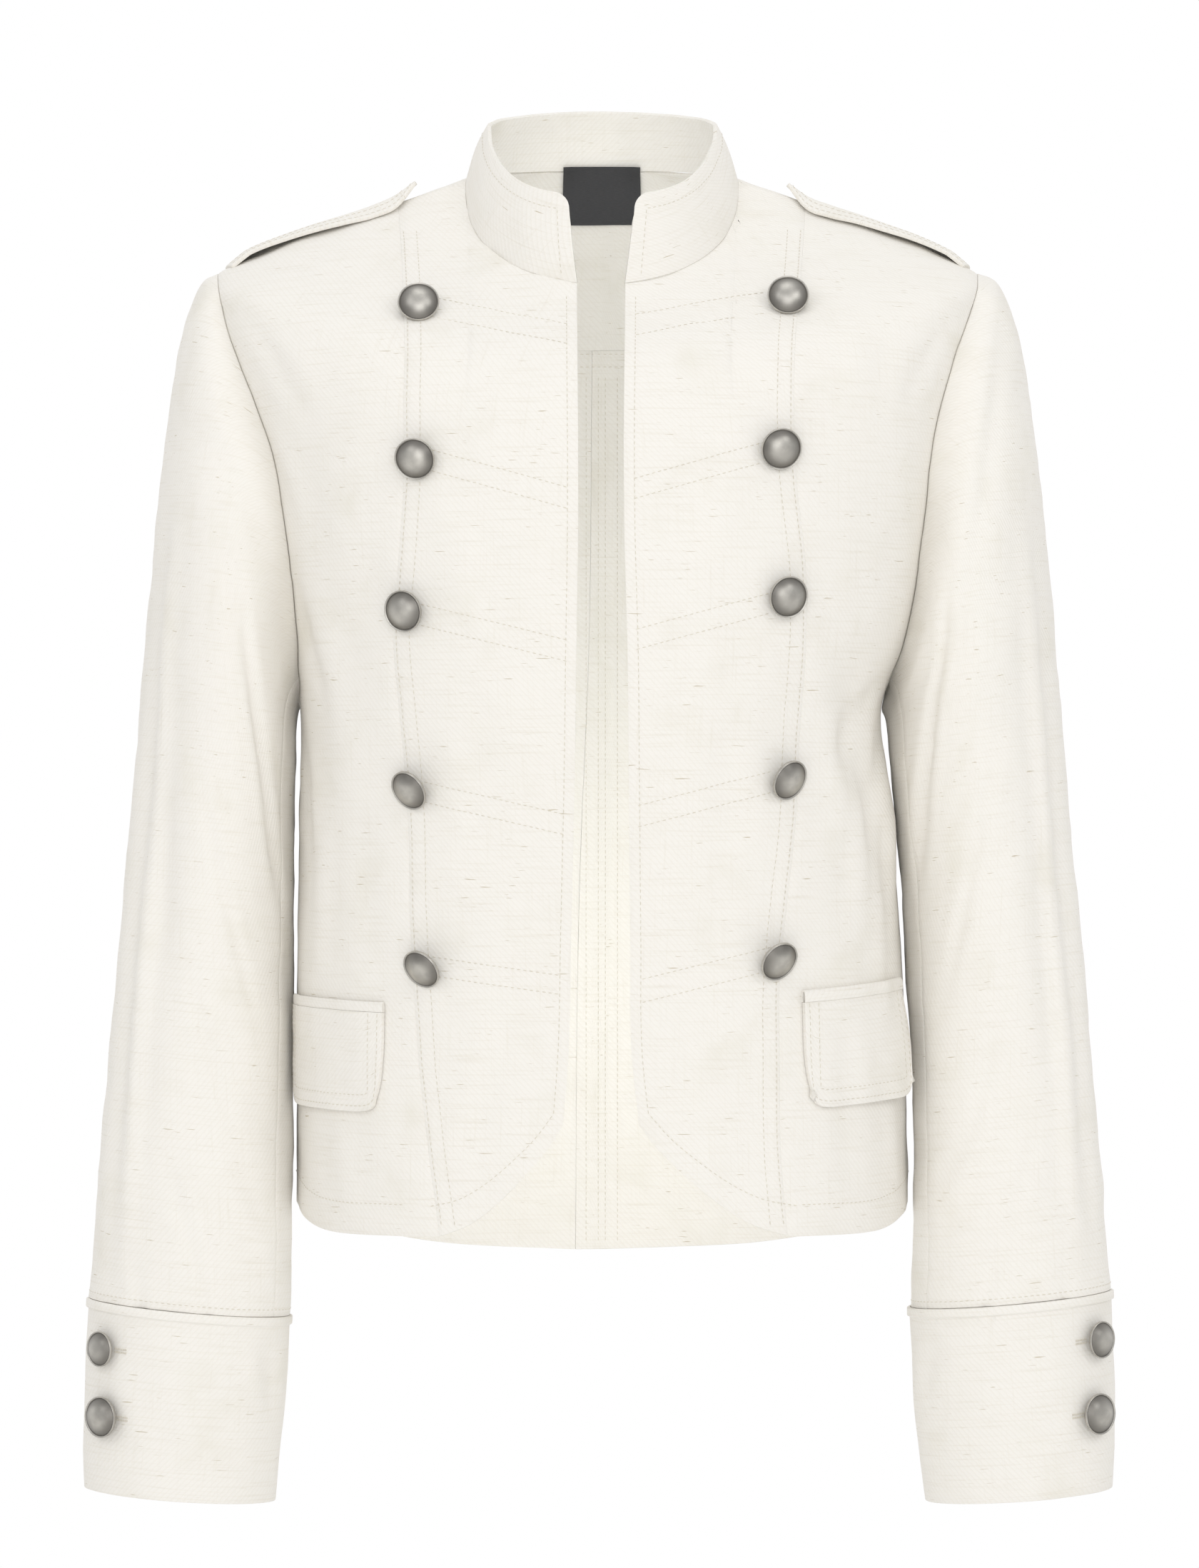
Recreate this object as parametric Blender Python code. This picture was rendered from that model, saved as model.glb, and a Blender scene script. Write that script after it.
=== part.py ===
"""Cropped linen twill jacket with princess seams, stand collar and metal shank buttons.

Sizes are in millimetres and turn into metres where a mesh is made. X is the wearer's left, -Y the front and Z up.
The origin lies between the two points where the neck meets the shoulder seams.
"""

import math

import bpy
import numpy as np

MM = 0.001

CLOTH = 1.6
SEAM_GAP = 0.36
LIFT = 0.45

UNDERARM = -258.0
TIP = -45.0
ARM_STEPS = 12
SIDE_STEPS = 9
YOKE_ARM_STEP = 3
YOKE_DROP = -75.0
BACK_STEPS = 9
FRONT_NECK_STEPS = 5
CENTRE_SHOULDER_STEPS = 2
SIDE_SHOULDER_STEPS = 6
PRINCESS_SHOULDER_X = 100.0
SHOULDER_LOWEST = -70.0
HALVINGS = 40
NORMAL_ANGLE = 1.2
NORMAL_LEVEL = 1.5

# One row for each ring of the body, from the neck down. The level is the ring's height at the shoulder or side.
TORSO = {
    "level": (0, -11, -23, -34, -45, -62, -84, -120, -165, -215, -258, -316, -380, -440, -500, -545),
    "front_drop": (-56, -55, -50, -44, -38, -28, -17, -7, -1, 0, 0, 0, 0, 0, 0, 0),
    "back_rise": (13, 12, 9, 6, 3, 1, 0, 0, 0, 0, 0, 0, 0, 0, 0, 0),
    "right_width": (67, 100, 135, 164, 188, 191.5, 187, 175, 163, 152.5, 147, 148.8, 149, 149.3, 149.8, 150),
    "left_width": (67, 100, 134, 162, 184, 186.5, 182, 173, 164.5, 154, 137, 142.3, 147, 149.2, 150.2, 150.4),
    "front": (71, 77, 84, 90, 96, 103, 110, 118, 123, 125, 123, 116, 111, 111, 114, 116),
    "back": (74, 82, 90, 96, 101, 106, 111, 114, 114, 110, 105, 98, 95, 99, 106, 110),
    "square": (2.0, 2.05, 2.1, 2.15, 2.2, 2.25, 2.3, 2.3, 2.3, 2.3, 2.3, 2.3, 2.3, 2.3, 2.3, 2.3),
    "tilt": (0.8, 1.0, 1.2, 1.3, 1.4, 1.4, 1.4, 1.4, 1.4, 1.4, 1.4, 1.4, 1.4, 1.4, 1.4, 1.4),
}

# How far out the armhole seam lies at each level.
ARMHOLE = {
    "level": (-45, -62, -84, -105, -124, -142, -160, -182, -211, -234, -258),
    "right": (188, 184, 176.5, 169, 163, 158, 154.5, 151.3, 148.5, 147.2, 147),
    "left": (184, 178.5, 170.5, 165, 161, 158, 156.5, 154, 150, 144, 137),
}

PRINCESS = {
    "height": (-10, -50, -85, -112, -150, -195, -228, -263, -321, -352, -390, -435, -470, -510),
    "right": (100, 96, 94, 94, 94, 97, 99, 96, 92, 91.5, 89.5, 86.5, 82.5, 77),
    "left": (100, 96, 92, 91, 92, 97, 97, 94.5, 91.5, 88, 84.5, 84.5, 85, 88),
}

FRONT_EDGE = {
    "height": (-56, -148, -185, -222, -296, -370, -425, -457),
    "right": (12, 11.2, 11.3, 11.9, 12.9, 14.6, 15.9, 18.3),
    "left": (11.2, 10.3, 10.7, 11.8, 12.7, 13.4, 14.2, 17.6),
}

# The rounded front corner, from the front edge round to the princess seam.
CUTAWAY = {
    "out": (0.0, 0.11, 0.31, 0.53, 0.74, 1.0),
    "height": (-457, -467, -481, -494, -503.5, -510),
}

HEM = {
    "angle": (36, 60, 90, 120, 150, 180),
    "height": (-510.5, -510, -500, -514, -527, -532),
}

# The seam at centre back hangs a little towards the wearer's right.
CENTRE_BACK = {
    "level": (-75, -224, -350, -532),
    "out": (5.0, 6.6, 11.5, 13.5),
}

# Soft folds of the body: positive depth is a ridge, negative a trough.
BODY_FOLDS = {
    "side": (1, 1, 1, -1, -1, 1, -1, 1, -1),
    "angle": (52, 66, 78, 58, 76, 128, 122, 158, 152),
    "lean": (-9, -12, 5, 7, -4, 10, -9, 5, -6),
    "middle": (-300, -310, -320, -235, -320, -330, -300, -420, -380),
    "reach": (85, 75, 65, 90, 65, 130, 120, 90, 110),
    "spread": (5.5, 6.0, 5.0, 6.0, 5.5, 8.0, 9.0, 9.0, 8.0),
    "depth": (3.0, -3.8, 2.6, 2.6, -2.4, -3.4, -3.0, 2.2, -2.2),
}

# Sleeve rings from the armhole to the cuff: the outer and inner edge seen from the front, middle and half depth.
SLEEVE = {
    "right_outer": (186.5, 194.5, 201.7, 208.6, 213.7, 219.3, 224.6, 229.7, 234.8, 239.9, 244.7, 247, 249.1),
    "left_outer": (186.5, 194.8, 201.4, 207.2, 212.3, 217.8, 223.3, 228.5, 233.4, 238.7, 243.2, 245.6, 247.3),
    "outer_height": (-45, -49, -63, -92, -128, -175, -238, -300, -360, -422, -480, -513, -544.7),
    "right_inner": (147.5, 148.9, 149.9, 150.4, 150.7, 150.8, 150.9, 150.9, 150.9, 150.9, 150.9, 150.8, 152.2),
    "left_inner": (137.5, 139.6, 140.5, 141.2, 142.3, 143.9, 146.2, 148.5, 150.3, 151.3, 151.6, 151.1, 150.2),
    "inner_height": (-258, -263, -270, -280, -294, -312, -340, -375, -412, -452, -492, -523, -553.5),
    "left_rise": (0, 0, 0, 0, 0, 0, 0, 0, 0, 0.6, 1.8, 2.9, 4),
    "middle": (0, -1, -2, -3, -3, -2, -1, -2, -6, -12, -18, -21.5, -24),
    "deep": (57, 61, 64, 65, 65, 64, 61.5, 58, 53.5, 49, 45, 42, 40),
    "seam_share": (1, 0.62, 0.33, 0.14, 0.04, 0, 0, 0, 0, 0, 0, 0, 0),
}
RINGS_PER_ROW = 2
UPPER_SEAM_FRONT = 10
UPPER_SEAM_BACK = 16

SLEEVE_FOLDS = {
    "side": (1, 1, 1, 1, -1, -1, -1, -1),
    "around": (60, 110, 45, 80, 70, 115, 50, 90),
    "lean": (40, -30, 25, -35, -35, 30, 30, -30),
    "middle": (0.22, 0.30, 0.62, 0.80, 0.20, 0.34, 0.58, 0.78),
    "reach": (0.13, 0.12, 0.18, 0.12, 0.14, 0.12, 0.17, 0.13),
    "spread": (17, 16, 15, 18, 16, 17, 15, 17),
    "depth": (-2.0, -2.4, -1.8, -2.2, -2.2, -1.9, -2.1, -1.9),
}

# Cuff rings below the sleeve: the top band stands proud, and the tilt lifts a ring's outer side.
CUFF = {
    "height": (-549.5, -549.9, -553.6, -554.4, -575, -600, -622, -640.5),
    "proud": (0.2, 1.7, 1.7, 0.4, 0.4, 0.3, 0.2, 0.0),
    "right_outer": (249.1, 249.1, 249.3, 249.3, 250.4, 251.2, 251.6, 251.3),
    "left_outer": (247.3, 247.3, 247.5, 247.5, 248.4, 249.2, 249.7, 249.0),
    "right_inner": (152.2, 152.2, 152.4, 152.4, 153.5, 155.3, 157.4, 159.2),
    "left_inner": (150.2, 150.2, 150.2, 150.2, 151.0, 152.9, 155.0, 157.3),
    "deep": (39.8, 39.8, 39.7, 39.7, 39.2, 38.6, 38.2, 38),
    "tilt": (4.4, 4.4, 4.4, 4.4, 4.2, 3.9, 3.6, 3.4),
    "left_rise": (4.0, 4.0, 4.0, 4.0, 3.3, 2.2, 1.1, 0.0),
}
CUFF_MIDDLE = -24.0
CUFF_WALL = 2.4

# The top rim of the stand collar is a smaller ring than the neck seam.
COLLAR_WIDE = 56.2
COLLAR_FRONT = 66.0
COLLAR_BACK = 61.0
COLLAR_SIDE_HEIGHT = 28.0
COLLAR_FRONT_DROP = -47.0
COLLAR_BACK_RISE = 13.0
COLLAR_FRONT_LIFT = 6.4
COLLAR_LIFT_POWER = 5
COLLAR_FRONT_END = 16.5
COLLAR_ROWS = (0.0, 0.3, 0.6, 0.85, 1.0)
COLLAR_WALL = 2.0
COLLAR_CORNER = 5.0
COLLAR_BULGE = 1.2
COLLAR_FOOT = 0.5

LABEL_WIDE = 40.0
LABEL_HIGH = 25.0
LABEL_THICK = 1.0
LABEL_STAND = 0.6
LABEL_START = 0.3
LABEL_TAB = 3.0
LABEL_LEAN = 0.85

EPAULETTE = {
    "along": (0.0, 0.14, 0.3, 0.46, 0.62, 0.78, 0.91, 1.0),
    "right_lift": (0.0, 1.7, 1.6, 1.3, 0.5, 0.4, 1.8, 5.0),
    "left_lift": (0.0, 1.2, 1.5, 1.2, 0.9, 0.5, 1.0, 4.0),
    "half_wide": (21, 20.5, 20, 20, 19.5, 19.5, 17, 9),
}
EPAULETTE_ACROSS = (-1.0, -0.66, -0.33, 0.0, 0.33, 0.66, 1.0)
EPAULETTE_END = 92.0
EPAULETTE_THICK = 2.6
EPAULETTE_LIFT = 0.6
EPAULETTE_START = 3.0
EPAULETTE_HOLLOW = 4.0
EPAULETTE_BACK = 9.0

POCKETS = {
    "side": (-1, 1),
    "front_angle": (41, 37),
    "rear_angle": (80, 74),
    "front_height": (-404.5, -399.5),
    "rear_height": (-402.5, -395),
    "flap_drop": (48, 51),
    "rear_stand": (1.0, 5.0),
}
FLAP_THICK = 2.6
WELT_HIGH = 5.0
WELT_THICK = 2.2
WELT_FOOT = 0.6
FLAP_CORNER = 0.14
FLAP_TUCK = 2.0
FLAP_SHARPNESS = 9
FLAP_COLUMNS = 9
FLAP_ROWS = 5

SHANK_RADIUS = 2.3
SHANK_GAP = 0.3
FRONT_BUTTONS = {
    "side": (-1, -1, -1, -1, -1, 1, 1, 1, 1, 1),
    "row": (1, 2, 3, 4, 5, 1, 2, 3, 4, 5),
    "out": (87.5, 87, 91.5, 88.5, 82.5, 89, 83.5, 86, 85.5, 81),
    "height": (-68, -141, -213, -296.5, -381, -64, -136.5, -206.5, -292, -377.5),
    "droop": (29, 18, 8, 22, 28, 29, 18, 8, 20, 26),
    "turn": (-4, -2, 2, 14, 16, -4, -2, 2, 12, 14),
}
CUFF_BUTTONS = {
    "side": (-1, -1, 1, 1),
    "row": (1, 2, 1, 2),
    "around": (40, 43, 38, 42.5),
    "height": (-571.2, -603.4, -570.4, -604),
    "size": (0.86, 1.0, 0.9, 1.0),
}

# Button outline from the foot of the shank to the crown: radius and height, on a 20 mm button.
BUTTON_OUTLINE = {
    "radius": (SHANK_RADIUS, SHANK_RADIUS, 9.5, 10.0, 9.2, 8.1, 5.0),
    "height": (0.0, 3.0, 3.5, 4.9, 5.9, 5.5, 7.8),
}
BUTTON_CROWN = 8.7
BUTTON_SIDES = 16

LINEN = (0.855, 0.84, 0.80)
BLACK_SATIN = (0.012, 0.012, 0.013)
OLD_SILVER = (0.42, 0.41, 0.39)

SIDE_NAMES = {1: "left", -1: "right"}


def clear_scene():
    for item in list(bpy.data.objects):
        bpy.data.objects.remove(item, do_unlink=True)


def make_material(name, colour, roughness, metallic=0.0):
    material = bpy.data.materials.new(name)
    material.use_nodes = True
    shader = material.node_tree.nodes["Principled BSDF"]
    shader.inputs["Base Color"].default_value = (*colour, 1.0)
    shader.inputs["Roughness"].default_value = roughness
    shader.inputs["Metallic"].default_value = metallic
    material.diffuse_color = (*colour, 1.0)
    return material


def smooth_between(places, values, at):
    """Reads a smooth curve through a table's column."""
    places = np.asarray(places, dtype=float)
    values = np.asarray(values, dtype=float)
    if places[0] > places[-1]:
        places = places[::-1]
        values = values[::-1]
    slopes = np.gradient(values, places)
    at = np.clip(np.asarray(at, dtype=float), places[0], places[-1])
    cell = np.clip(np.searchsorted(places, at, side="right") - 1, 0, len(places) - 2)
    width = places[cell + 1] - places[cell]
    part = (at - places[cell]) / width
    square = part * part
    cube = square * part
    return (
        (2 * cube - 3 * square + 1) * values[cell]
        + (cube - 2 * square + part) * width * slopes[cell]
        + (3 * square - 2 * cube) * values[cell + 1]
        + (cube - square) * width * slopes[cell + 1]
    )


def torso_column(name, level):
    return smooth_between(TORSO["level"], TORSO[name], level)


def bare_torso(side, angle, level):
    """The body without folds: the angle runs from 0 at centre front to 180 at centre back."""
    angle = np.radians(angle)
    width = body_width(side, level)
    power = 2.0 / torso_column("square", level)
    sine = np.sin(angle)
    cosine = np.cos(angle)
    ahead = cosine > 0
    reach = np.abs(cosine) ** power
    depth = np.where(ahead, -torso_column("front", level), torso_column("back", level))
    change = np.where(ahead, torso_column("front_drop", level), torso_column("back_rise", level))
    lean = np.abs(cosine) ** torso_column("tilt", level)
    across = side * width * np.sign(sine) * np.abs(sine) ** power
    return np.stack((across, depth * reach, level + change * lean), axis=-1)


def torso_normal(side, angle, level):
    """The outward direction, from the points just beside, above and below."""
    low = np.maximum(level - NORMAL_LEVEL, TORSO["level"][-1])
    high = np.minimum(level + NORMAL_LEVEL, 0.0)
    across = bare_torso(side, angle + NORMAL_ANGLE, level) - bare_torso(side, angle - NORMAL_ANGLE, level)
    upward = bare_torso(side, angle, high) - bare_torso(side, angle, low)
    normal = np.cross(upward, across) * np.asarray(side)[..., None] * -1.0
    return normal / np.linalg.norm(normal, axis=-1, keepdims=True)


def body_fold(side, angle, level):
    total = np.zeros(np.broadcast(angle, level).shape)
    for row in range(len(BODY_FOLDS["side"])):
        along = (level - BODY_FOLDS["middle"][row]) / BODY_FOLDS["reach"][row]
        centre = BODY_FOLDS["angle"][row] + BODY_FOLDS["lean"][row] * along
        across = (angle - centre) / BODY_FOLDS["spread"][row]
        fade = np.clip(1.0 - along * along, 0.0, 1.0) ** 1.5
        on_side = np.asarray(side) == BODY_FOLDS["side"][row]
        total = total + on_side * BODY_FOLDS["depth"][row] * fade * np.exp(-across * across)
    return total


def torso(side, angle, level, out=0.0):
    """A point on the body's cloth, moved outward."""
    side = np.asarray(side, dtype=float)
    angle = np.asarray(angle, dtype=float)
    level = np.asarray(level, dtype=float)
    away = body_fold(side, angle, level) + out
    return bare_torso(side, angle, level) + torso_normal(side, angle, level) * np.asarray(away)[..., None]


def body_width(side, level):
    return np.where(np.asarray(side) > 0, torso_column("left_width", level), torso_column("right_width", level))


def angle_for(side, out, level, rear=False):
    """The angle at which a ring lies this far out from the middle."""
    share = np.minimum(np.abs(out) / body_width(side, level), 1.0)
    angle = np.degrees(np.arcsin(share ** (torso_column("square", level) / 2.0)))
    return 180.0 - angle if rear else angle


def halve(low, high, is_low):
    """Narrows a span of numbers until the test changes inside it."""
    for _ in range(HALVINGS):
        middle = (low + high) / 2.0
        under = is_low(middle)
        low = np.where(under, middle, low)
        high = np.where(under, high, middle)
    return low


def shoulder_level(side, out):
    """The level at which the shoulder seam lies this far out."""
    low = np.full(np.shape(out), TIP)
    high = np.zeros(np.shape(out))
    return halve(low, high, lambda level: body_width(side, level) > out)


def place_on_body(side, out, height, rear=False):
    """The angles and levels of the points seen at these distances out and heights."""
    out = np.abs(np.asarray(out, dtype=float))
    height = np.asarray(height, dtype=float)
    low = np.full(np.broadcast(out, height).shape, float(TORSO["level"][-1]))
    high = np.where(out > TORSO["right_width"][0], shoulder_level(side, out), 0.0) + low * 0.0

    def is_low(level):
        angle = angle_for(side, out, level, rear)
        return bare_torso(side, angle, level)[..., 2] < height

    level = halve(low, high, is_low)
    return np.stack((angle_for(side, out, level, rear), level), axis=-1)


def arm_levels():
    """Levels of the armhole's stitches from the shoulder tip to the underarm."""
    turn = np.linspace(0.0, math.pi, ARM_STEPS + 1)
    return UNDERARM + (TIP - UNDERARM) * (1.0 + np.cos(turn)) / 2.0


def armhole(side, rear):
    """Angle and level of the armhole seam from the shoulder tip down to the underarm."""
    levels = arm_levels()
    out = smooth_between(ARMHOLE["level"], ARMHOLE["left" if side > 0 else "right"], levels)
    seam = np.stack((angle_for(side, out, levels, rear), levels), axis=-1)
    seam[0] = (90.0, TIP)
    seam[-1] = (90.0, UNDERARM)
    return seam


def hem_height(angle):
    return float(smooth_between(HEM["angle"], HEM["height"], angle))


def side_seam():
    """From the underarm down to the hem."""
    levels = np.linspace(UNDERARM, hem_height(90.0), SIDE_STEPS + 1)
    return np.stack((np.full_like(levels, 90.0), levels), axis=-1)


def side_chain(side, rear):
    """Hem, underarm, then up the armhole to the shoulder tip."""
    return np.concatenate((side_seam()[::-1], armhole(side, rear)[::-1][1:]))


def share_along(levels):
    return (levels - levels[0]) / (levels[-1] - levels[0])


def seam_on_front(side, table, share, bottom, top):
    """A seam read from a table of heights and distances out, at shares of its height."""
    height = bottom + (top - bottom) * share
    out = smooth_between(table["height"], table["left" if side > 0 else "right"], height)
    return place_on_body(side, out, height)


def princess(side):
    share = share_along(side_chain(side, False)[:, 1])
    top = float(shoulder_level(side, PRINCESS_SHOULDER_X))
    seam = seam_on_front(side, PRINCESS, share, CUTAWAY["height"][-1], top)
    seam[-1] = (90.0, top)
    return seam


def shoulder_seam(side):
    """From the neck point out to the shoulder tip, with a sample on the princess seam."""
    split = float(shoulder_level(side, PRINCESS_SHOULDER_X))
    inner = np.linspace(0.0, split, CENTRE_SHOULDER_STEPS + 1)
    outer = np.linspace(split, TIP, SIDE_SHOULDER_STEPS + 1)
    levels = np.concatenate((inner, outer[1:]))
    return np.stack((np.full_like(levels, 90.0), levels), axis=-1)


def front_edge(side):
    share = share_along(side_chain(side, False)[:, 1])
    seam = seam_on_front(side, FRONT_EDGE, share, FRONT_EDGE["height"][-1], FRONT_EDGE["height"][0])
    seam[-1] = (front_neck_angle(side), 0.0)
    return seam


def front_neck_angle(side):
    column = "left" if side > 0 else "right"
    return float(angle_for(side, FRONT_EDGE[column][0], 0.0))


def front_neckline(side):
    """From the front edge round to the neck point."""
    angles = np.linspace(front_neck_angle(side), 90.0, FRONT_NECK_STEPS + 1)
    return np.stack((angles, np.zeros_like(angles)), axis=-1)


def cutaway(side):
    column = "left" if side > 0 else "right"
    start = FRONT_EDGE[column][-1]
    end = float(smooth_between(PRINCESS["height"], PRINCESS[column], CUTAWAY["height"][-1]))
    share = np.linspace(0.0, 1.0, FRONT_NECK_STEPS + CENTRE_SHOULDER_STEPS + 1)
    height = smooth_between(CUTAWAY["out"], CUTAWAY["height"], share)
    return place_on_body(side, start + (end - start) * share, height)


def hem(start, end, steps):
    angles = np.linspace(start, end, steps + 1)
    return np.array([(angle, hem_height(angle)) for angle in angles])


def fill_patch(left, right, bottom, top):
    """A smooth sheet of places between four edges that share their corners."""
    up = share_along(left[:, 1])[:, None, None]
    over = np.linspace(0.0, 1.0, len(bottom))[None, :, None]
    corners = (
        (1 - over) * (1 - up) * bottom[0]
        + over * (1 - up) * bottom[-1]
        + (1 - over) * up * top[0]
        + over * up * top[-1]
    )
    sides = (1 - over) * left[:, None, :] + over * right[:, None, :]
    ends = (1 - up) * bottom[None, :, :] + up * top[None, :, :]
    return sides + ends - corners


def pull_in(grid, distance):
    """Moves the rim of a grid inward, along the cloth, to leave half a seam gap."""
    moved = grid.copy()

    def toward(edge, inner):
        way = inner - edge
        return way / np.maximum(np.linalg.norm(way, axis=-1, keepdims=True), 1e-9) * distance

    moved[0] += toward(grid[0], grid[1])
    moved[-1] += toward(grid[-1], grid[-2])
    moved[:, 0] += toward(grid[:, 0], grid[:, 1])
    moved[:, -1] += toward(grid[:, -1], grid[:, -2])
    return moved


def object_from_walls(name, outer, inner, material, closed=False):
    """One closed body between two grids of the same size, open or joined round."""
    rows, columns, _ = outer.shape
    points = np.concatenate((outer.reshape(-1, 3), inner.reshape(-1, 3))) * MM
    shift = rows * columns
    faces = []
    spans = columns if closed else columns - 1
    for row in range(rows - 1):
        for column in range(spans):
            after = (column + 1) % columns
            a = row * columns + column
            b = row * columns + after
            c = (row + 1) * columns + after
            d = (row + 1) * columns + column
            faces.append((a, b, c, d))
            faces.append((d + shift, c + shift, b + shift, a + shift))
    for column in range(spans):
        after = (column + 1) % columns
        last = (rows - 1) * columns
        faces.append((after, column, column + shift, after + shift))
        faces.append((last + column, last + after, last + after + shift, last + column + shift))
    if not closed:
        for row in range(rows - 1):
            low = row * columns
            high = (row + 1) * columns
            end = columns - 1
            faces.append((low, high, high + shift, low + shift))
            faces.append((high + end, low + end, low + end + shift, high + end + shift))
    return add_object(name, points, faces, material)


def add_object(name, points, faces, material):
    mesh = bpy.data.meshes.new(name)
    mesh.from_pydata([tuple(point) for point in points], [], faces)
    mesh.validate()
    mesh.update()
    volume = 0.0
    for face in mesh.polygons:
        corners = [mesh.vertices[index].co for index in face.vertices]
        for step in range(1, len(corners) - 1):
            volume += corners[0].dot(corners[step].cross(corners[step + 1]))
    if volume < 0.0:
        mesh.flip_normals()
    for face in mesh.polygons:
        face.use_smooth = True
    mesh.materials.append(material)
    made = bpy.data.objects.new(name, mesh)
    bpy.context.scene.collection.objects.link(made)
    return made


def add_panel(name, side, places, material):
    """A wall of cloth on the body over a grid of angles and levels."""
    angle = places[..., 0]
    level = places[..., 1]
    sides = np.full(angle.shape, float(side)) if np.isscalar(side) else side
    outer = torso(sides, angle, level)
    inner = torso(sides, angle, level, -CLOTH)
    half = SEAM_GAP / 2.0
    return object_from_walls(name, pull_in(outer, half), pull_in(inner, half), material)


def front_side_places(side):
    chain = side_chain(side, False)
    seam = princess(side)
    top = shoulder_seam(side)[CENTRE_SHOULDER_STEPS:]
    bottom = hem(seam[0][0], 90.0, SIDE_SHOULDER_STEPS)
    bottom[0] = seam[0]
    return fill_patch(seam, chain, bottom, top)


def seen_from_front(side, places):
    return bare_torso(side, places[..., 0], places[..., 1])[..., (0, 2)]


def front_centre_places(side):
    """The sheet is filled as seen from the front, then placed on the body."""
    seam = princess(side)
    edge = front_edge(side)
    shoulder = shoulder_seam(side)[: CENTRE_SHOULDER_STEPS + 1]
    top = np.concatenate((front_neckline(side), shoulder[1:]))
    bottom = cutaway(side)
    bottom[0] = edge[0]
    bottom[-1] = seam[0]
    seen = [seen_from_front(side, line) for line in (edge, seam, bottom, top)]
    sheet = fill_patch(*seen)
    places = place_on_body(side, sheet[..., 0], sheet[..., 1])
    places[:, 0] = edge
    places[:, -1] = seam
    places[0] = bottom
    places[-1] = top
    return places


def yoke_seam(side):
    """From the armhole to centre back."""
    start = armhole(side, True)[YOKE_ARM_STEP]
    end = place_on_body(side, 0.0, YOKE_DROP, rear=True)
    share = np.linspace(0.0, 1.0, BACK_STEPS + 1)[:, None]
    return start * (1 - share) + np.array(end) * share


def centre_back(side, levels):
    """The angle of the centre seam, past the middle on the wearer's left."""
    out = smooth_between(CENTRE_BACK["level"], CENTRE_BACK["out"], levels)
    past = 180.0 - angle_for(side, out, levels, rear=True)
    return 180.0 + side * past


def back_places(side):
    chain = side_chain(side, True)
    chain = chain[: len(chain) - YOKE_ARM_STEP]
    start = chain[-1]
    end = place_on_body(side, 0.0, YOKE_DROP, rear=True)
    low = hem_height(180.0)
    levels = low + (end[1] - low) * share_along(chain[:, 1])
    middle = np.stack((centre_back(side, levels), levels), axis=-1)
    top = start + (middle[-1] - start) * np.linspace(0.0, 1.0, BACK_STEPS + 1)[:, None]
    bottom = hem(90.0, middle[0][0], BACK_STEPS)
    return fill_patch(chain, middle, bottom, top)


def yoke_places():
    """Both halves of the yoke as one grid: the side of each column, and its angles and levels."""
    halves = []
    for side in (-1, 1):
        armhole_part = armhole(side, True)[: YOKE_ARM_STEP + 1][::-1]
        chain = np.concatenate((armhole_part, shoulder_seam(side)[::-1][1:]))
        neck_angles = np.linspace(90.0, 180.0, BACK_STEPS + 1)
        neck = np.stack((neck_angles, np.zeros_like(neck_angles)), axis=-1)
        bottom = yoke_seam(side)
        levels = bottom[-1][1] * (1.0 - share_along(chain[:, 1]))
        middle = np.stack((np.full_like(levels, 180.0), levels), axis=-1)
        halves.append(fill_patch(chain, middle, bottom, neck))
    right, left = halves
    places = np.concatenate((right, left[:, ::-1][:, 1:]), axis=1)
    sides = np.concatenate(
        (np.full(right.shape[:2], -1.0), np.full(left[:, 1:].shape[:2], 1.0)),
        axis=1,
    )
    return sides, places


def sleeve_rows():
    rows = len(SLEEVE["middle"])
    return np.linspace(0, rows - 1, (rows - 1) * RINGS_PER_ROW + 1)


def sleeve_column(name, at):
    return smooth_between(range(len(SLEEVE[name])), SLEEVE[name], at)


def arm_ring(side):
    """The armhole seam as a closed ring: shoulder tip, front, underarm, back."""
    front = armhole(side, False)
    rear = armhole(side, True)[::-1]
    places = np.concatenate((front, rear[1:-1]))
    return torso(np.full(len(places), float(side)), places[:, 0], places[:, 1])


def sleeve_ellipse(side, at, turn):
    outer_x = sleeve_column(SIDE_NAMES[side] + "_outer", at)
    inner_x = sleeve_column(SIDE_NAMES[side] + "_inner", at)
    rise = sleeve_column("left_rise", at) * (side > 0)
    outer_z = sleeve_column("outer_height", at) + rise
    inner_z = sleeve_column("inner_height", at) + rise
    middle = sleeve_column("middle", at)
    deep = sleeve_column("deep", at)
    along = np.cos(turn)
    return np.stack(
        (
            side * ((outer_x + inner_x) / 2 + (outer_x - inner_x) / 2 * along),
            middle - deep * np.sin(turn),
            (outer_z + inner_z) / 2 + (outer_z - inner_z) / 2 * along,
        ),
        axis=-1,
    )


def sleeve_fold(side, turn, share):
    total = np.zeros(np.broadcast(turn, share).shape)
    for row in range(len(SLEEVE_FOLDS["side"])):
        if SLEEVE_FOLDS["side"][row] != side:
            continue
        along = (share - SLEEVE_FOLDS["middle"][row]) / SLEEVE_FOLDS["reach"][row]
        centre = SLEEVE_FOLDS["around"][row] + SLEEVE_FOLDS["lean"][row] * along
        across = (np.degrees(turn) - centre) / SLEEVE_FOLDS["spread"][row]
        fade = np.clip(1.0 - along * along, 0.0, 1.0) ** 1.5
        total = total + SLEEVE_FOLDS["depth"][row] * fade * np.exp(-across * across)
    return total


def ring_normals(grid):
    """Outward normals of a grid of closed rings."""
    around = np.roll(grid, -1, axis=1) - np.roll(grid, 1, axis=1)
    along = np.gradient(grid, axis=0)
    normal = np.cross(around, along)
    normal /= np.linalg.norm(normal, axis=-1, keepdims=True)
    centre = grid.mean(axis=1, keepdims=True)
    if np.sum(normal * (grid - centre)) < 0:
        normal = -normal
    return normal


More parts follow.
